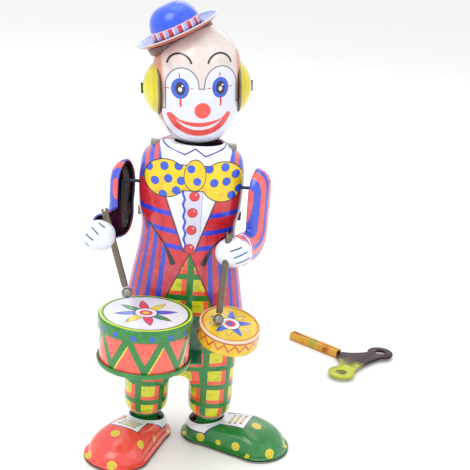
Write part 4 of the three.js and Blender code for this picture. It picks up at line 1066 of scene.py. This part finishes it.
for name, side in (("right", -1), ("left", 1)):
    data = armShape[name]
    body = name + "_arm_body"
    swinging = shift(0, *armShape["axle"]) @ turn("X", data["raise"])
    sheetPlace = swinging @ shift(side * armShape["offset"], 0, 0) @ turn("Z", armShape["turn"])
    bm = armSkin(data, side)
    outwards(bm, (0, 0, -10))
    finished(bm, name + "_arm_tin", body, [name + "_arm"], "arm_tin",
             [armPrint(name, data, sheetPlace), darkLacquer], sheetPlace, wall=tin, inner=1)

    # glove: a clenched mitten with finger creases
    radii, centre = data["radii"], data["glove"]

    def fist(u, v):
        around, up = u * 2 * math.pi, (v - 0.5) * math.pi
        ring = math.cos(up)
        x, y, z = [radius * share for radius, share in zip(radii, (
            power(math.cos(around), 0.85) * ring ** 0.9, power(math.sin(around), 0.85) * ring ** 0.9,
            power(math.sin(up), 0.92)))]
        if y < 0:
            near = min(segment((x, z), *finger) for finger in data["fingers"])
            dent = math.exp(-(near / 0.6) ** 2) * 0.45
            y += dent
        return x, y, z

    bm = skin(88, 56, fist)
    outwards(bm)
    glovePlace = swinging @ shift(*centre)
    paint = Finish(name + "GlovePrint", glovePlace)
    paint.flat = paint.vector("MULTIPLY", paint.point, (1, 0, 1))
    colour = paint.over(shade("dfe4ee"), (paint.noise(0.25, 3) > 0.55) * 0.4, shade("c9d1e0"))
    for start, end in data["fingers"]:
        colour = paint.over(colour, (paint.stroke(start, end) < 0.3) & (paint.y < 0), shade("245a70"))
    finished(bm, name + "_glove_tin", body, [name + "_glove"], "white_tin", [paint.printed(colour)],
             glovePlace)

    # stick: a rolled tube with an open seam and a pinched, forked end
    if name == "right":
        strike = Vector((-24.6, -25.4, drumShape["head"] + 0.3 + 2.4))
    else:
        strike = smallPlace @ Vector((-5.7, -2.2, 2.7))
    strike = strike - Vector((0, *armShape["axle"]))
    along = (Vector(data["grip"]) - strike).normalized()
    stickPlace = swinging @ shift(*strike) @ Vector((0, 0, 1)).rotation_difference(along).to_matrix().to_4x4()
    heights = [2.7, 2.9, 4.0, 8, 14, 20, 26, 31, 34, 35.2, 35.7, 36.1, 36.4, 36.8, 37.2, 37.5]

    def tube(u, v):
        z = heights[round(v * (len(heights) - 1))]
        pinch = min(1.0, max(0.0, (z - 34.5) / 2.0))
        opening = math.radians(mixed(15, 52, pinch))
        angle = math.pi / 2 + opening + u * 2 * (math.pi - opening)
        radius = 1.45 if z > 3 else 1.3
        return radius * math.cos(angle) * mixed(1, 0.95, pinch), radius * math.sin(angle) * mixed(1, 0.72,
                pinch), z

    bm = skin(40, len(heights) - 1, tube)
    fork = [f for f in bm.faces if f.calc_center_median().z > 36.4 and abs(f.calc_center_median().x) < 0.5]
    bmesh.ops.delete(bm, geom=fork, context="FACES")
    outwards(bm, (0, 0, 20))
    finished(bm, name + "_stick_tube", body, [name + "_stick"], "steel", [stickSteel], stickPlace, wall=0.45)

    def knob(u, v):
        around, up = u * 2 * math.pi, (v - 0.5) * math.pi
        ring, z = 2.38 * math.cos(up), 2.38 * math.sin(up)
        flat = min(z, 2.2)
        groove = 0.12 * math.exp(-((z - 1.5) / 0.18) ** 2)
        return (ring - groove) * math.cos(around), (ring - groove) * math.sin(around), flat

    bm = skin(56, 48, knob)
    outwards(bm)
    finished(bm, name + "_stick_knob", body, [name + "_stick_ball"], "steel", [steel], stickPlace)
print("arms made")

# key

keyPlace = shift(67, 125.5, 2.3) @ turn("Z", -42.5)


def zinc(name, low, high, tones):
    paint = Finish(name, keyPlace)
    drift = paint.noise(0.09, 3)
    place = (paint.y * 0.045 + (drift - 0.5) * 1.1 + 0.5) if name == "keyHandleZinc" else drift
    stops = [(low + (high - low) * i / (len(tones) - 1), shade(tone)) for i, tone in enumerate(tones)]
    colour = paint.node("ShaderNodeValToRGB", {"stops": stops}, {0: place})
    scratch = paint.noise(1.3, 5, 0.7, (0.4, 2.2, 1.0))
    colour = paint.over(colour, (scratch > 0.64) * 0.4, shade("cfc08a"))
    return paint.close(colour, 0.24 + 0.2 * scratch, 0.9, 0.0, scratch, 0.06)


refined("key_tube", "key", "zinc_plate",
        zinc("keyTubeZinc", 0.35, 0.68, ["9a5a2a", "c98a3a", "d9a040", "a9a048"]), 0.3)
refined("key_handle", "key", "zinc_plate",
        zinc("keyHandleZinc", -0.2, 0.66, ["a9b040", "9a9a34", "6a6a3a", "40282e", "321c28"]), 0.22)
print("key made")

# bracket, wires and clockwork keep their own meshes, with better finishes

tealPaint = Finish("tealPaint")
tealColour = tealPaint.over(shade("1f7a55"), (tealPaint.noise(0.3, 3) > 0.52) * 0.5, shade("155f48"))
refined("drum_bracket", "body", "green_tin", tealPaint.printed(tealColour), 0.15)
brassNodes = ("great_wheel", "second_wheel", "crank_wheel")
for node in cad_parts:
    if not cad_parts[node].hide_render:
        wire = node.endswith("shoulder_wire")
        painted(node, brass if node in brassNodes else springSteel if node == "mainspring" or wire else steel)
print("carried-over nodes painted")

# floor, lights and camera

floorMesh = bpy.data.meshes.new("floor")
bm = bmesh.new()
bmesh.ops.create_grid(bm, x_segments=1, y_segments=1, size=4)
bm.to_mesh(floorMesh)
bm.free()
floor = bpy.data.objects.new("floor", floorMesh)
floor.location.z = cadLow.z - 0.0002
bpy.context.scene.collection.objects.link(floor)
floorPaint = bpy.data.materials.new("floorPaint")
floorPaint.use_nodes = True
floorShader = floorPaint.node_tree.nodes["Principled BSDF"]
floorShader.inputs["Base Color"].default_value = (0.93, 0.93, 0.93, 1)
floorShader.inputs["Roughness"].default_value = 0.7
floorMesh.materials.append(floorPaint)

lightShape = {
    "key": ((-0.55, -0.75, 0.95), 0.7, 5.5), "fill": ((0.8, -0.6, 0.6), 0.8, 1.2), "top": ((0.0, 0.1, 1.2),
            0.9, 3),
    "back": ((0.2, 0.9, 0.7), 0.7, 1.5),
}
aim = stand @ Vector((0, 0, 0.1))
for name, (where, size, watts) in lightShape.items():
    lamp = bpy.data.lights.new(name, "AREA")
    lamp.shape, lamp.size, lamp.energy = "SQUARE", size, watts
    lampObject = bpy.data.objects.new(name, lamp)
    lampObject.location = aim + Vector(where)
    lampObject.rotation_mode = "QUATERNION"
    lampObject.rotation_quaternion = (-Vector(where)).to_track_quat("-Z", "Y")
    bpy.context.scene.collection.objects.link(lampObject)
bpy.context.scene.view_settings.view_transform = "Standard"
world = bpy.data.worlds.new("studio")
world.use_nodes = True
world.node_tree.nodes["Background"].inputs[0].default_value = (1, 1, 1, 1)
world.node_tree.nodes["Background"].inputs[1].default_value = 0.96
bpy.context.scene.world = world

cameraShape = {"place": (0, -0.430, 0.243), "aim": (0, 0, 0.103), "roll": 3.6, "pan": -2.71, "lens": 75.88}
cameraData = bpy.data.cameras.new("camera")
cameraData.sensor_width, cameraData.lens = 36, cameraShape["lens"]
cameraData.clip_start, cameraData.clip_end = 0.01, 20
camera = bpy.data.objects.new("camera", cameraData)
camera.location = stand @ Vector(cameraShape["place"])
look = (Vector(cameraShape["aim"]) - Vector(cameraShape["place"])).to_track_quat("-Z", "Y")
look = look @ Quaternion((0, 0, 1), math.radians(cameraShape["roll"]))
look = look @ Quaternion((0, 1, 0), math.radians(cameraShape["pan"]))
camera.rotation_mode = "QUATERNION"
camera.rotation_quaternion = look
bpy.context.scene.collection.objects.link(camera)
bpy.context.scene.camera = camera
print("stage ready")
